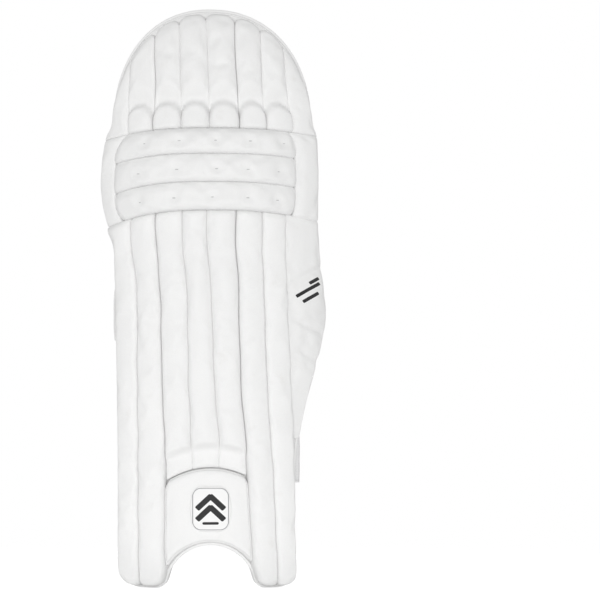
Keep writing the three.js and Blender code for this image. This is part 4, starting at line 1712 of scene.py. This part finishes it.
@dataclass
class TopHat:
    """The eight columns over the knee: a thumb-shaped puff and a channel up to the rim."""

    thickness: float = 18.5
    side_thickness: float = 12.5
    puff_side: float = 12
    puff_arch: float = 20
    recess: float = 0.5
    channel: float = 0.86
    recovery: float = 30
    arch_blur: float = 2
    edge_margin: float = 1.0
    rim_overlap: float = 1.5
    margin_run: float = 16
    fill: Numbers = profile("at full", (0, 1), (0.6, 1), (0.85, 0.85), (1, 0.6))

    def _relief(self, x: Numbers, z: Numbers, across: Numbers) -> Numbers:
        """Full under the puff's arch, recessed just over it, and most of the way back above.

        The arch is half an ellipse across the column.

        Args:
            x: Width on the wrap.
            z: Height.
            across: Share of the column.

        Returns:
            Shares of the height.
        """
        arch = np.sqrt(np.maximum(0, 1 - (2 * across - 1) ** 2))
        above = z - (PATTERN.roll(0, x) + self.puff_side + self.puff_arch * arch)
        low = mix(self.recess, self.channel, ease(above / self.recovery))
        return mix(1, low, ease((above + self.arch_blur) / (2 * self.arch_blur)))

    def _margin(self, z: Numbers) -> Numbers:
        """How far the outermost columns stay off the pad's edge: as far as the rim higher up."""
        above = np.asarray(z, float) - PATTERN.roll(0, -PATTERN.inner_reach)
        rim = PATTERN.crown_rim - self.rim_overlap
        return mix(self.edge_margin, rim, ease(above / self.margin_run))

    def _column(self, i: int) -> Pad:
        """One column."""
        rim = PATTERN.crown_rim
        left, right = between(i)
        outermost = i in (1, PATTERN.columns)
        return Pad(
            f"top_hat_{i}",
            column(
                lambda z: left(z) + (self._margin(z) if i == 1 else 0),
                lambda z: right(z) - (self._margin(z) if i == PATTERN.columns else 0),
                lambda x: PATTERN.roll(0, x) + COVER_GAP / 2,
                lambda x: np.maximum(PATTERN.crown(x, rim), PATTERN.roll(0, x) + rim + SEAM_GAP),
            ),
            self.side_thickness if outermost else self.thickness,
            fill=self.fill,
            relief=None if outermost else self._relief,
            section=Section(power=3.5, edge=0.4) if outermost else TUBE,
            ends=(2 if outermost else 5, 16),
            corners=(1, 3 if outermost else 10),
            swell=1 if outermost else 3, uneven=0.5, pitch=4,
        )

    def build(self) -> list[Cover]:
        """Makes the columns."""
        return [make_pad(self._column(i)) for i in range(1, PATTERN.columns + 1)]


def upright(share: float) -> Line:
    """A seam that runs straight up, at a share of the half width."""
    return steady(share * WRAP.half_width)


@dataclass
class RearPadding:
    """What lies against the leg: bolsters, mesh panels and linings."""

    margin: float = 7.5
    thickness: float = 26
    edge_thickness: float = 12.5
    ankle_thickness: float = 24.5
    knee_thickness: float = 28
    mesh_thickness: float = 17
    bolster_top: float = 430
    bolster_seams: tuple[float, ...] = (-0.535, -0.141, 0.324, 0.62)
    slit_width: float = 3.2
    slit_from: float = 330
    slit_run: float = 60
    ankle_top: float = 110
    ankle_seam: float = 48.5
    knee_seams: tuple[float, ...] = (-0.218, 0.056, 0.338)
    lining_inset: float = 8
    strap_clearance: Numbers = knots(
        (117, 0), (127, 6), (200, 6), (210, 0), (286, 0), (296, 6), (392, 6), (400, 0),
        (438, 0), (446, 6), (500, 6), (508, 0),
    )
    knee_line: Numbers = knots((-125, 541), (-60, 548), (0, 551), (60, 555), (125, 556))
    foot_line: Numbers = knots((-76, 110), (-50, 112.5), (-12.5, 104), (46, 111), (54, 110))

    def _bolster_foot(self, x: Numbers) -> Numbers:
        """The bolsters' lower ends: a shallow point off the middle, straight between knots."""
        return np.interp(x, *self.foot_line.T)

    def _knee_top(self, x: Numbers) -> Numbers:
        """The knee bolsters' upper ends, lower towards the inner side."""
        return np.interp(x, *self.knee_line.T)

    def _inner(self, z: Numbers) -> Numbers:
        """The padding's inner limit, drawn in where straps are sewn to the edge."""
        return PATTERN.inner(z) + self.margin + np.interp(z, *self.strap_clearance.T)

    def _wing(self, z: Numbers) -> Numbers:
        """The padding's limit on the wing side, drawn in in the same way."""
        return PATTERN.wing(z) - self.margin - np.interp(z, *self.strap_clearance.T)

    def _pad(
        self, node: str, left: Line, right: Line, bottom: Line, top: Line, thickness: float,
        **how: object,
    ) -> Pad:
        """One pad on the rear, with half a seam's gap round it.

        Args:
            node: The node that it stands for.
            left: Side line.
            right: Side line.
            bottom: End line.
            top: End line.
            thickness: Its thickness.
            how: What differs from the usual.

        Returns:
            The pad.
        """
        half = COVER_GAP / 2
        place = column(
            lambda z: left(z) + half, lambda z: right(z) - half,
            lambda x: bottom(x) + half, lambda x: top(x) - half,
        )
        usual = {"rear": True, "seat": 0.8, "ends": (14, 14), "corners": (7, 7), "pitch": 5}
        return Pad(node, place, thickness, **{**usual, **how})

    def _bolsters(self) -> list[Pad]:
        """The four upright bolsters behind the shin.

        Returns:
            Four pads.
        """
        top = steady(self.bolster_top)
        edge, inside, middle, outer = map(upright, self.bolster_seams)

        def slit(z: Numbers) -> Numbers:
            """The edge bolster's side of the seam, which opens towards the knee."""
            return edge(z) - self.slit_width * ease((z - self.slit_from) / self.slit_run)

        return [
            self._pad(
                "bolster_wing", middle, outer, self._bolster_foot, top, self.thickness,
                tucks=(Tuck((77, 113), (52, 104), 4, 1.6), Tuck((80, 410), (60, 402), 4, 1.2)),
            ),
            self._pad(
                "bolster_centre", inside, middle, self._bolster_foot, top, self.thickness,
                finish=BLOCK_LEATHER, section=Section(power=3.2),
            ),
            self._pad(
                "bolster_inner", edge, inside, self._bolster_foot, top, self.thickness,
                finish=BLOCK_LEATHER,
            ),
            self._pad(
                "bolster_edge", self._inner, slit, self._bolster_foot, top, self.edge_thickness,
            ),
        ]

    def _ankle(self) -> list[Pad]:
        """The two ankle bolsters and the lining over the instep between them.

        Returns:
            Three pads.
        """
        top = steady(self.ankle_top)
        low = steady(PATTERN.arch_centre - self.ankle_seam)
        high = steady(PATTERN.arch_centre + self.ankle_seam)
        stuffed = {"corners": (9, 3), "ends": (12, 8)}

        def foot(x: Numbers) -> Numbers:
            """The bolsters' lower ends, just inside the outline."""
            return PATTERN.foot(x, 2.5)

        return [
            self._pad(
                "ankle_bolster_wing", high, self._wing, foot, top, self.ankle_thickness,
                tucks=(Tuck((77, 100), (60, 110), 4, 2.0), Tuck((60, 12), (85, 14), 4, 1.0)),
                **stuffed,
            ),
            self._pad(
                "ankle_bolster_inner", self._inner, low, foot, top, self.ankle_thickness,
                tucks=(Tuck((-80, 108), (-84, 92), 3.5, 1.8),), **stuffed,
            ),
            self._pad(
                "instep_lining", low, high, lambda x: PATTERN.foot(x, 3.5),
                self._bolster_foot, 5, finish=LINING, slot="lining", section=FLAT,
                ends=(3, 3), corners=(1, 1), swell=0.5, softness=0.3,
            ),
        ]

    def _knee(self) -> list[Pad]:
        """The knee bolsters, the two mesh panels between them and the crown's lining.

        Returns:
            Five pads.
        """
        low, top = steady(self.bolster_top), self._knee_top
        left, middle, right = map(upright, self.knee_seams)
        stuffed = {"section": Section(power=3.4), "ends": (16, 16), "corners": (9, 9)}
        knitted = {
            "finish": SPACER_MESH, "slot": "mesh", "section": Section(power=4),
            "corners": (3, 3), "softness": 0.4,
        }
        return [
            self._pad(
                "knee_bolster_wing", right, self._wing, low, top, self.knee_thickness, **stuffed
            ),
            self._pad(
                "knee_mesh_wing", middle, right, low, top, self.mesh_thickness, **knitted,
                tucks=(Tuck((44, 552), (14, 505), 3.2, 3.2), Tuck((14, 505), (9, 470), 3, 2.4)),
            ),
            self._pad("knee_mesh_inner", left, middle, low, top, self.mesh_thickness, **knitted),
            self._pad(
                "knee_bolster_inner", self._inner, left, low, top, self.knee_thickness, **stuffed
            ),
            self._pad(
                "crown_lining",
                lambda z: PATTERN.inner(z) + self.lining_inset,
                lambda z: PATTERN.wing(z) - self.lining_inset,
                top,
                lambda x: PATTERN.crown(x, self.lining_inset) + SEAM_GAP,
                3.8, finish=CREST_LINING, slot="lining", section=Section(power=10, edge=0.5),
                seat=0.95, ends=(3, 4), corners=(1, 1), end_height=0.5, swell=0.6,
                softness=0.3,
                tucks=tuple(
                    Tuck((x, 575), (x * 0.95, 670), 4, 0.8) for x in (-64, -33, 1, 36, 69)
                ),
            ),
        ]

    def build(self) -> list[Cover]:
        """Makes everything on the rear."""
        return [make_pad(p) for p in (*self._bolsters(), *self._ankle(), *self._knee())]


# The shell: the backing board and the binding round its edge


@dataclass
class Shell:
    """The backing and the folded binding round it."""

    binding_width: float = 5.0
    across: int = 64
    levels: int = 110
    stations: int = 150
    arch_stations: int = 60
    bend_steps: int = 8
    section_points: int = 22
    section_power: float = 2 / 3
    fold_over: float = 0.25
    lump: float = 0.12
    lump_length: float = 16

    def _backing(self) -> Skin:
        """The backing: lines from the foot to the crown at even shares of the width.

        Between its two ends each line follows the sides, with the height eased at both.

        Returns:
            The surface.
        """
        inset = self.binding_width - SEAM_GAP / 2
        share = np.linspace(0, 1, self.across)[:, None]
        level = steps(1000, 1000 / self.levels, 30)[None, :]
        low, high = PATTERN.inner(0.0) + inset, PATTERN.wing(0.0) - inset
        x0 = mix(low, high, share)
        start = PATTERN.foot(x0, inset)
        knee = mix(
            PATTERN.inner(PATTERN.knee_top) + inset, PATTERN.wing(PATTERN.knee_top) - inset, share
        )
        end = PATTERN.crown(knee, inset)
        corner = PATTERN.foot_corner
        z = mix(corner, PATTERN.knee_top, level)
        z = z + (start - corner) * (1 - level) ** 3 + (end - PATTERN.knee_top) * level**6
        x = mix(PATTERN.inner(z) + inset, PATTERN.wing(z) - inset, share)
        front = WRAP.point(x, z, 0.0).reshape(-1, 3)
        back = WRAP.point(x, z, -BACKING).reshape(-1, 3)
        flat = np.stack([x, z], -1).reshape(-1, 2)
        side = np.minimum(share, 1 - share) * (high - low)
        seam = np.minimum(side, np.minimum(z - start, end - z)).ravel()
        return Skin(
            np.concatenate([front, back]),
            pillow_faces(*x.shape),
            np.tile(flat, (2, 1)),
            np.tile(flat, (2, 1)),
            np.tile(seam, 2),
            np.zeros(2 * x.size),
        )

    def _outline(self, inset: float) -> Numbers:
        """The outline, run round once at an inset, as width and height.

        A side, the crown as a superellipse over an angle, the other side, a foot corner,
        the arch over an angle, and the other foot corner.

        Args:
            inset: Distance inside the outline.

        Returns:
            One row for each point.
        """
        corner, knee = PATTERN.foot_corner, PATTERN.knee_top
        side = np.linspace(corner, knee, self.stations, endpoint=False)
        cosine = np.cos(np.linspace(math.pi, 0, self.stations, endpoint=False))
        edge = np.where(cosine < 0, -PATTERN.inner(knee), PATTERN.wing(knee))
        top_x = (edge - inset) * flattened(cosine, 2 / PATTERN.crown_power)
        down = side[::-1] + (side[1] - side[0])
        turn = np.linspace(0, math.pi / 2, self.bend_steps, endpoint=False)
        wing, inner = PATTERN.wing(0.0) - corner, PATTERN.inner(0.0) + corner
        middle, heel = PATTERN.arch_centre, PATTERN.arch_corner
        turned = PATTERN.arch_flare + heel
        height, reach = PATTERN.arch_height + inset, PATTERN.arch_half + inset
        first = math.asin((heel / height) ** (1 / PATTERN.arch_power))
        angle = np.linspace(first, math.pi - first, self.arch_stations, endpoint=False)
        lobe = np.linspace(0, 1, self.bend_steps, endpoint=False)
        flat = inset + 0 * lobe

        def bend(x: float, size: float, start: float) -> tuple[Numbers, Numbers]:
            """A quarter of a circle in a corner, run clockwise from an angle."""
            radius = size - inset
            return x + radius * np.cos(start - turn), size + radius * np.sin(start - turn)

        parts = [
            (PATTERN.inner(side) + inset, side),
            (top_x, PATTERN.crown(top_x, inset)),
            (PATTERN.wing(down) - inset, down),
            bend(wing, corner, 0),
            (mix(wing, middle + turned, lobe), flat),
            bend(middle + turned, heel, -math.pi / 2),
            (middle + reach * np.cos(angle), height * np.sin(angle) ** PATTERN.arch_power),
            bend(middle - turned, heel, 0),
            (mix(middle - turned, inner, lobe), flat),
            bend(inner, corner, -math.pi / 2),
        ]
        return np.concatenate([np.stack(part, -1) for part in parts])

    def _binding(self) -> Skin:
        """The binding: a rounded strip carried round the outline.

        Its section is a superellipse from its inner edge on the face, over the outer edge,
        to its inner edge on the rear.

        Returns:
            The surface.
        """
        turn = np.linspace(0, 2 * math.pi, self.section_points, endpoint=False)
        half_width, half_thick = self.binding_width / 2, BACKING / 2 + self.fold_over
        insets = half_width * (1 - flattened(np.cos(turn), self.section_power))
        through = flattened(np.sin(turn), self.section_power)
        rings = np.stack([self._outline(max(i, 0)) for i in insets.tolist()], axis=1)
        sway = ripple(rings[:, :1, 0], rings[:, :1, 1], 7, self.lump_length)
        lumps = 1 + self.lump * sway
        points = WRAP.point(
            rings[..., 0], rings[..., 1], -BACKING / 2 + half_thick * through * lumps
        )
        step = np.linalg.norm(np.diff(points[:, 0], axis=0, prepend=points[-1:, 0]), axis=1)
        run = np.broadcast_to(np.cumsum(step)[:, None], rings.shape[:2])
        strip = np.broadcast_to(insets, rings.shape[:2])
        size = rings.shape[0] * rings.shape[1]
        return Skin(
            points.reshape(size, 3),
            sweep_faces(*rings.shape[:2], True),
            rings.reshape(size, 2),
            np.stack([strip, run], -1).reshape(size, 2),
            (self.binding_width - strip).ravel(),
            np.full(size, 0.5),
        )

    def build(self) -> None:
        """Makes the backing and the binding."""
        board = make_piece("backing_board", self._backing(), "backing", LINING)
        make_piece("edge_binding_strip", self._binding(), "edge_binding", PIPING)


# Straps


def spline(points: Numbers, density: int = 60) -> Numbers:
    """A smooth curve through points, as a centripetal Catmull-Rom spline.

    Each stretch is a cubic whose end slopes come from three neighbours, weighted by the
    roots of the distances between them.

    Args:
        points: One row for each.
        density: Steps between two of them.

    Returns:
        The curve's points.
    """
    ends = [2 * points[0] - points[1], *points, 2 * points[-1] - points[-2]]
    p = np.array(ends)
    knots = np.sqrt(np.linalg.norm(np.diff(p, axis=0), axis=1))[:, None]
    before, span, after = knots[:-2], knots[1:-1], knots[2:]
    p0, p1, p2, p3 = p[:-3], p[1:-2], p[2:-1], p[3:]
    leave = (p1 - p0) / before - (p2 - p0) / (before + span) + (p2 - p1) / span
    arrive = (p2 - p1) / span - (p3 - p1) / (span + after) + (p3 - p2) / after
    leave, arrive = leave * span, arrive * span
    t = np.linspace(0, 1, density, endpoint=False)[None, :, None]
    a, b, c, d = (v[:, None, :] for v in (p1, p2, leave, arrive))
    curve = a + c * t + (3 * (b - a) - 2 * c - d) * t**2 + (2 * (a - b) + c + d) * t**3
    return np.concatenate([curve.reshape(-1, 3), points[-1:]])


@dataclass
class Route:
    """A strap's middle line, walked by shares of its length."""

    curve: Numbers

    def __post_init__(self) -> None:
        """Measures the curve."""
        step = np.linalg.norm(np.diff(self.curve, axis=0), axis=1)
        self.reached = np.concatenate([[0], np.cumsum(step)])
        self.length = float(self.reached[-1])

    def at(self, share: Numbers) -> tuple[Numbers, Numbers]:
        """Points at shares of the length, and the level directions out from the leg.

        Args:
            share: Shares of the length.

        Returns:
            Both, one row for each share.
        """
        where = np.asarray(share) * self.length
        after, before = np.minimum(where + 1, self.length), np.maximum(where - 1, 0)
        ahead = self._walk(after) - self._walk(before)
        out = np.stack([-ahead[..., 1], ahead[..., 0], 0 * ahead[..., 0]], -1)
        return self._walk(where), out / np.linalg.norm(out, axis=-1, keepdims=True)

    def _walk(self, reach: Numbers) -> Numbers:
        """Points at distances from the curve's start."""
        return np.stack([np.interp(reach, self.reached, line) for line in self.curve.T], -1)


@dataclass(frozen=True)
class Strap:
    """One strap: heights as shares of the knee's, reaches as shares of the half width."""

    name: str
    inner: float
    wing: float
    width: float
    inner_flare: float
    wing_flare: float
    reach: float
    band_from: float
    band_to: float


@dataclass(frozen=True)
class Tab:
    """A side tab: its height at the edge and where it meets the calf strap."""

    name: str
    anchor: float
    meet: float


@dataclass
class Straps:
    """The three straps with their mesh ends and keepers, and the calf strap's side tabs."""

    thickness: float = 6
    end_thickness: float = 2.4
    end_trim: float = 4
    anchor_margin: float = 11.5
    seat: float = 0.6
    keeper_depth: float = 8
    keeper_wall: float = 2.4
    keeper_clearance: float = 0.7
    keeper_share: float = 0.36
    keeper_straight: float = 0.625
    plump: float = 0.5
    webbing_plump: float = 0.2
    groove: float = 0.03
    groove_width: float = 0.9
    wave: float = 0.3
    wave_length: float = 45
    wave_margin: float = 8
    tab_width: float = 32
    tab_thickness: float = 3
    table: tuple[Strap, ...] = (
        Strap("knee", 0.83, 0.844, 0.0716, 0.056, 0.056, 0.887, 0, 0.74),
        Strap("calf", 0.59, 0.578, 0.1127, 0.141, 0.042, 0.915, 0.13, 0.8),
        Strap("ankle", 0.286, 0.277, 0.1091, 0.028, 0.07, 0.831, 0, 0.7),
    )
    tabs: tuple[Tab, ...] = (Tab("calf_tab_upper", 0.66, 0.62), Tab("calf_tab_lower", 0.587, 0.56))
    tab_shares: tuple[float, ...] = (0.11, 0.14, 0.18, 0.22)
    tab_lift: float = 0.25

    def _anchor(self, edge: Line, sign: int, z: float, flare: float, thick: float) -> Numbers:
        """A point inside the pad's edge, one at the edge and one beyond it.

        Args:
            edge: The pad's edge over height.
            sign: 1 at the inner edge.
            z: Height.
            flare: How far the last point is beyond the edge.
            thick: The strap's thickness.

        Returns:
            The three points.
        """
        seat = -(BACKING + self.seat + thick / 2)
        inside = WRAP.point(edge(z) + sign * self.anchor_margin, z, seat)
        normal = WRAP.normal(edge(z), np.asarray(z, float))
        outward_way = -sign * np.array([-normal[1], normal[0], 0])
        at_edge = inside + outward_way * self.anchor_margin
        return np.array([inside, at_edge, at_edge + outward_way * flare])

    def _route(self, strap: Strap) -> Route:
        """From the inner anchor round behind the leg to the wing anchor.

        Behind the leg the depth goes to the reach as a sine to the power 0.7.

        Args:
            strap: The strap.

        Returns:
            Its middle line.
        """
        knee, half = PATTERN.knee_top, WRAP.half_width
        start = self._anchor(
            PATTERN.inner, 1, strap.inner * knee, strap.inner_flare * half, self.thickness
        )
        end = self._anchor(
            PATTERN.wing, -1, strap.wing * knee, strap.wing_flare * half, self.end_thickness
        )[::-1]
        angle = math.pi * np.arange(1, 8)[:, None] / 8
        arc = mix(start[2], end[0], (1 - np.cos(angle)) / 2)
        arc[:, 1] = mix(arc[:, 1], strap.reach * half, np.sin(angle[:, 0]) ** 0.7)
        return Route(spline(np.concatenate([start, arc, end])))

    def _band(
        self, route: Route, start: float, end: float, width: float, thick: float,
        plump: float, seed: int,
    ) -> Skin:
        """A band carried along a route, with rounded corners at its ends.

        Its thickness across is least at the edges and rises as a fourth power inwards,
        and a shallow groove holds each stitch row.

        Args:
            route: Its middle line.
            start: Share where it starts.
            end: Share where it ends.
            width: Its width.
            thick: Its thickness.
            plump: How much thinner its edges are.
            seed: Seed of its unevenness.

        Returns:
            The band's surface.
        """
        length = (end - start) * route.length
        share = steps(length, 3.2, 5)
        across = steps(width, 3.6, 4)
        along, side = np.meshgrid(share, across, indexing="ij")
        point, out = route.at(mix(start, end, along))
        from_end = np.minimum(along, 1 - along) * length
        offset = (side - 0.5) * width * (1 - 2 / width * (1 - dome(from_end, 2, 2)))
        from_side = np.minimum(side, 1 - side) * width
        body = mix(1 - plump, 1, 1 - np.abs(2 * side - 1) ** 4)
        body = body * mix(0.5, 1, dome(np.minimum(from_side, from_end), 1.6))
        from_row = (from_side - STRAP_LEATHER.stitch_inset) / self.groove_width
        half = thick / 2 * (body - self.groove * np.exp(-(from_row**2)))
        wave = self.wave * ripple(along * length, offset, seed, self.wave_length)
        wave = wave * (from_end > self.wave_margin)
        up = np.array([0, 0, 1.0])
        middle = point + up * offset[..., None]
        faces = [middle + out * (s * half + wave)[..., None] for s in (1, -1)]
        size = along.size
        flat = np.stack([along * length, offset], -1).reshape(size, 2)
        run = np.stack([side * width, along * length], -1).reshape(size, 2)
        seam = np.minimum(from_side, from_end).ravel()
        return Skin(
            np.concatenate([f.reshape(size, 3) for f in faces]),
            pillow_faces(*along.shape),
            np.tile(flat, (2, 1)),
            np.tile(run, (2, 1)),
            np.tile(seam, 2),
            np.tile(ease(seam / 8), 2),
        )

    def _keeper(self, route: Route, share: float, width: float, thick: float) -> Skin:
        """A keeper: a rounded bar carried round a loop about the mesh end.

        The loop has two straight sides and half a circle at each end, and the bar's section
        is a superellipse.

        Args:
            route: The strap's middle line.
            share: Where it sits.
            width: The mesh end's width.
            thick: The mesh end's thickness.

        Returns:
            The keeper's surface.
        """
        point, out = (row[0] for row in route.at(np.array([share])))
        ahead = np.array([out[1], -out[0], 0])
        wall = self.keeper_wall
        half_w = width / 2 + self.keeper_clearance + wall / 2
        half_t = thick / 2 + self.keeper_clearance + wall / 2
        turn = np.linspace(0, 2 * math.pi, 72, endpoint=False)
        way, size = np.sign(np.cos(turn)), np.abs(np.cos(turn))
        straight = (half_w - half_t) * np.minimum(1, size / self.keeper_straight)
        bend = np.clip((size - self.keeper_straight) / (1 - self.keeper_straight), 0, 1)
        bend = bend * math.pi / 2
        path_w = way * (straight + half_t * np.sin(bend))
        path_t = half_t * np.sign(np.sin(turn) + 1e-12) * np.cos(bend)
        path = np.stack([path_w, path_t], -1)
        tangent = np.roll(path, -1, 0) - np.roll(path, 1, 0)
        tangent /= np.linalg.norm(tangent, axis=1, keepdims=True)
        side = np.stack([tangent[:, 1], -tangent[:, 0]], -1)
        spin = np.linspace(0, 2 * math.pi, 16, endpoint=False)
        bar_d = self.keeper_depth / 2 * flattened(np.cos(spin), 0.55)
        bar_w = wall / 2 * flattened(np.sin(spin), 0.8)
        flat = path[:, None, :] + side[:, None, :] * bar_w[None, :, None]
        up = np.array([0, 0, 1.0])
        points = point + flat[..., :1] * up + flat[..., 1:] * out
        points = points + bar_d[None, :, None] * ahead
        size = len(turn) * len(spin)
        plain = flat.reshape(size, 2)
        return Skin(
            points.reshape(size, 3), sweep_faces(len(turn), len(spin), True), plain, plain,
            np.full(size, FAR), np.full(size, 0.5),
        )

    def _make(self, strap: Strap) -> None:
        """One strap, its mesh end and its keeper."""
        route = self._route(strap)
        width = strap.width * PATTERN.knee_top
        joint = self.seat / 2 / route.length
        end_width = width - self.end_trim
        seed = len(strap.name) + int(1000 * strap.inner)
        name = f"{strap.name}_strap"
        skin = self._band(
            route, strap.band_from, strap.band_to - joint, width, self.thickness, self.plump, seed
        )
        band = make_piece(f"{name}_band", skin, name, STRAP_LEATHER)
        skin = self._band(
            route, strap.band_to + joint, 1, end_width, self.end_thickness,
            self.webbing_plump, seed + 1,
        )
        end = make_piece(f"{name}_webbing", skin, f"{name}_end", WEBBING)
        share = mix(strap.band_to, 1, self.keeper_share)
        skin = self._keeper(route, share, end_width, self.end_thickness)
        name = f"{strap.name}_keeper"
        keeper = make_piece(f"{name}_loop", skin, name, PLASTIC)
        for piece in (band, end, keeper):
            smooth_out(piece)

    def _tab(self, tab: Tab) -> None:
        """One side tab, from the inner edge along under the calf strap."""
        calf = self.table[1]
        height, meet = tab.anchor * PATTERN.knee_top, tab.meet * PATTERN.knee_top
        under = self.thickness / 2 + self.seat + self.tab_thickness / 2
        point, out = self._route(calf).at(np.array(self.tab_shares))
        point = point - self._sign(out, point) * out * under
        point[:, 2] = meet
        point[0, 2] = mix(meet, height, self.tab_lift)
        flare = calf.inner_flare * WRAP.half_width / 2
        anchor = self._anchor(PATTERN.inner, 1, height, flare, self.tab_thickness)
        route = Route(spline(np.concatenate([anchor, point])))
        skin = self._band(route, 0, 1, self.tab_width, self.tab_thickness, self.webbing_plump, 5)
        smooth_out(make_piece(f"{tab.name}_webbing", skin, tab.name, WEBBING))

    def _sign(self, out: Numbers, point: Numbers) -> Numbers:
        """1 where the route's side direction points away from the leg's middle, else -1."""
        away = point[:, :2] - np.array([0, 0.4 * WRAP.half_width])
        return np.sign(np.einsum("ij,ij->i", out[:, :2], away))[:, None]

    def build(self) -> None:
        """Makes the straps and the tabs."""
        for strap in self.table:
            self._make(strap)
        for tab in self.tabs:
            self._tab(tab)


# The studio: floor, lights and camera


@dataclass(frozen=True)
class Softbox:
    """A square soft light: where it stands, what it looks at, its side and its power."""

    name: str
    place: tuple[float, float, float]
    side: float
    power: float


@dataclass
class Studio:
    """A pale floor, soft lights and the photograph's camera. Lengths are metres."""

    frame_width: float = 0.7298
    sensor: float = 36.0
    distance: float = 7.0
    camera_x: float = 0.1061
    camera_z: float = 0.3479
    floor_radius: float = 3.0
    floor_fade: tuple[float, float] = (0.1, 0.4)
    floor_tone: float = 0.97
    floor_glow: float = 0.1
    floor_glow_seen: float = 0.6
    sky: float = 0.48
    lights: tuple[Softbox, ...] = (
        Softbox("front", (0.1, -6.4, 0.5), 2.0, 166.0),
        Softbox("key", (-1.8, -3.4, 0.5), 1.6, 12.0),
        Softbox("fill", (2.4, -3.2, 0.2), 2.2, 5.0),
        Softbox("rear", (0.0, 6.4, 0.5), 2.0, 185.0),
        Softbox("left", (-5.0, 0.4, 0.9), 2.0, 28.0),
        Softbox("right", (5.0, 0.4, 0.9), 2.0, 32.0),
    )

    def _floor(self) -> None:
        """A disc of rings and spokes. It fades out towards its rim.

        It glows a little, and more where the camera sees it, so that it comes out white.
        """
        turn = np.linspace(0, 2 * math.pi, 64, endpoint=False)
        reach = np.array([0.05, 0.4, 1, 2, 2.6, 3])[:, None] / 3 * self.floor_radius
        rings = np.broadcast_arrays(reach * np.cos(turn), reach * np.sin(turn), -0.0004)
        rings = np.stack(rings, -1)
        faces = sweep_faces(len(reach), len(turn), False)[:-1]
        mesh = bpy.data.meshes.new("floor")
        mesh.from_pydata(rings.reshape(-1, 3), [], [f[::-1] for f in faces])
        floor = bpy.data.objects.new("floor", mesh)
        bpy.context.scene.collection.objects.link(floor)
        material = bpy.data.materials.new("pale_floor")
        material.use_nodes = True
        material.node_tree.nodes.clear()
        w = Wiring(material.node_tree)
        place = w.add("ShaderNodeTexCoord").outputs["Object"]
        away = w.add("ShaderNodeVectorMath", {0: place}, operation="LENGTH").outputs["Value"]
        fade = w.ramp(away, *(share * self.floor_radius for share in self.floor_fade))
        white = (*(self.floor_tone,) * 3, 1)
        paper = w.add("ShaderNodeBsdfDiffuse", {"Color": white}).outputs[0]
        clear = w.add("ShaderNodeBsdfTransparent").outputs[0]
        seen = w.add("ShaderNodeLightPath").outputs["Is Camera Ray"]
        bright = w.math("MULTIPLY", seen, self.floor_glow_seen)
        strength = w.math("MAXIMUM", bright, self.floor_glow)
        glow = w.add("ShaderNodeEmission", {"Color": (1, 1, 1, 1), "Strength": strength})
        lit = w.add("ShaderNodeAddShader", {0: paper, 1: glow.outputs[0]}).outputs[0]
        both = w.add("ShaderNodeMixShader", {0: fade, 1: lit, 2: clear})
        w.add("ShaderNodeOutputMaterial", {"Surface": both.outputs[0]})
        mesh.materials.append(material)

    def _sky(self) -> None:
        """Even white light from all round, and plain white where the camera sees it."""
        world = bpy.data.worlds.new("white_room")
        world.use_nodes = True
        world.node_tree.nodes.clear()
        w = Wiring(world.node_tree)
        seen = w.add("ShaderNodeLightPath").outputs["Is Camera Ray"]
        strength = w.math("MAXIMUM", seen, self.sky)
        back = w.add("ShaderNodeBackground", {"Color": (1, 1, 1, 1), "Strength": strength})
        w.add("ShaderNodeOutputWorld", {"Surface": back.outputs[0]})
        bpy.context.scene.world = world

    def _light(self, box: Softbox) -> None:
        """One soft light, turned towards the pad's middle."""
        lamp = bpy.data.lights.new(box.name, "AREA")
        lamp.shape, lamp.size, lamp.energy = "SQUARE", box.side, box.power
        holder = bpy.data.objects.new(box.name, lamp)
        holder.location = box.place
        aim = Vector((0, 0, self.camera_z)) - holder.location
        holder.rotation_euler = aim.to_track_quat("-Z", "Y").to_euler()
        bpy.context.scene.collection.objects.link(holder)

    def _camera(self) -> None:
        """The photograph's level view, through a long lens, with its own framing."""
        lens = bpy.data.cameras.new("camera")
        lens.sensor_width = self.sensor
        lens.lens = self.sensor * self.distance / self.frame_width
        lens.clip_end = 100
        holder = bpy.data.objects.new("camera", lens)
        holder.location = (self.camera_x, -self.distance, self.camera_z)
        holder.rotation_euler = (math.pi / 2, 0, 0)
        bpy.context.scene.collection.objects.link(holder)
        bpy.context.scene.camera = holder

    def build(self) -> None:
        """Sets up the studio."""
        self._camera()
        self._sky()
        self._floor()
        for box in self.lights:
            self._light(box)
        bpy.context.scene.view_settings.view_transform = "Standard"


def main() -> None:
    """Builds the studio and the pad's sub-assemblies, in order."""
    logging.basicConfig(level=logging.INFO, format="%(message)s")
    Studio().build()
    knee = KneeRolls()
    covers = []
    for part in (ShinFace(), Instep(), CalfWing(), knee, TopHat(), RearPadding()):
        covers += part.build()
    Swelling().run(covers)
    knee.add_tacks()
    Shell().build()
    Straps().build()


if __name__ == "__main__":
    main()
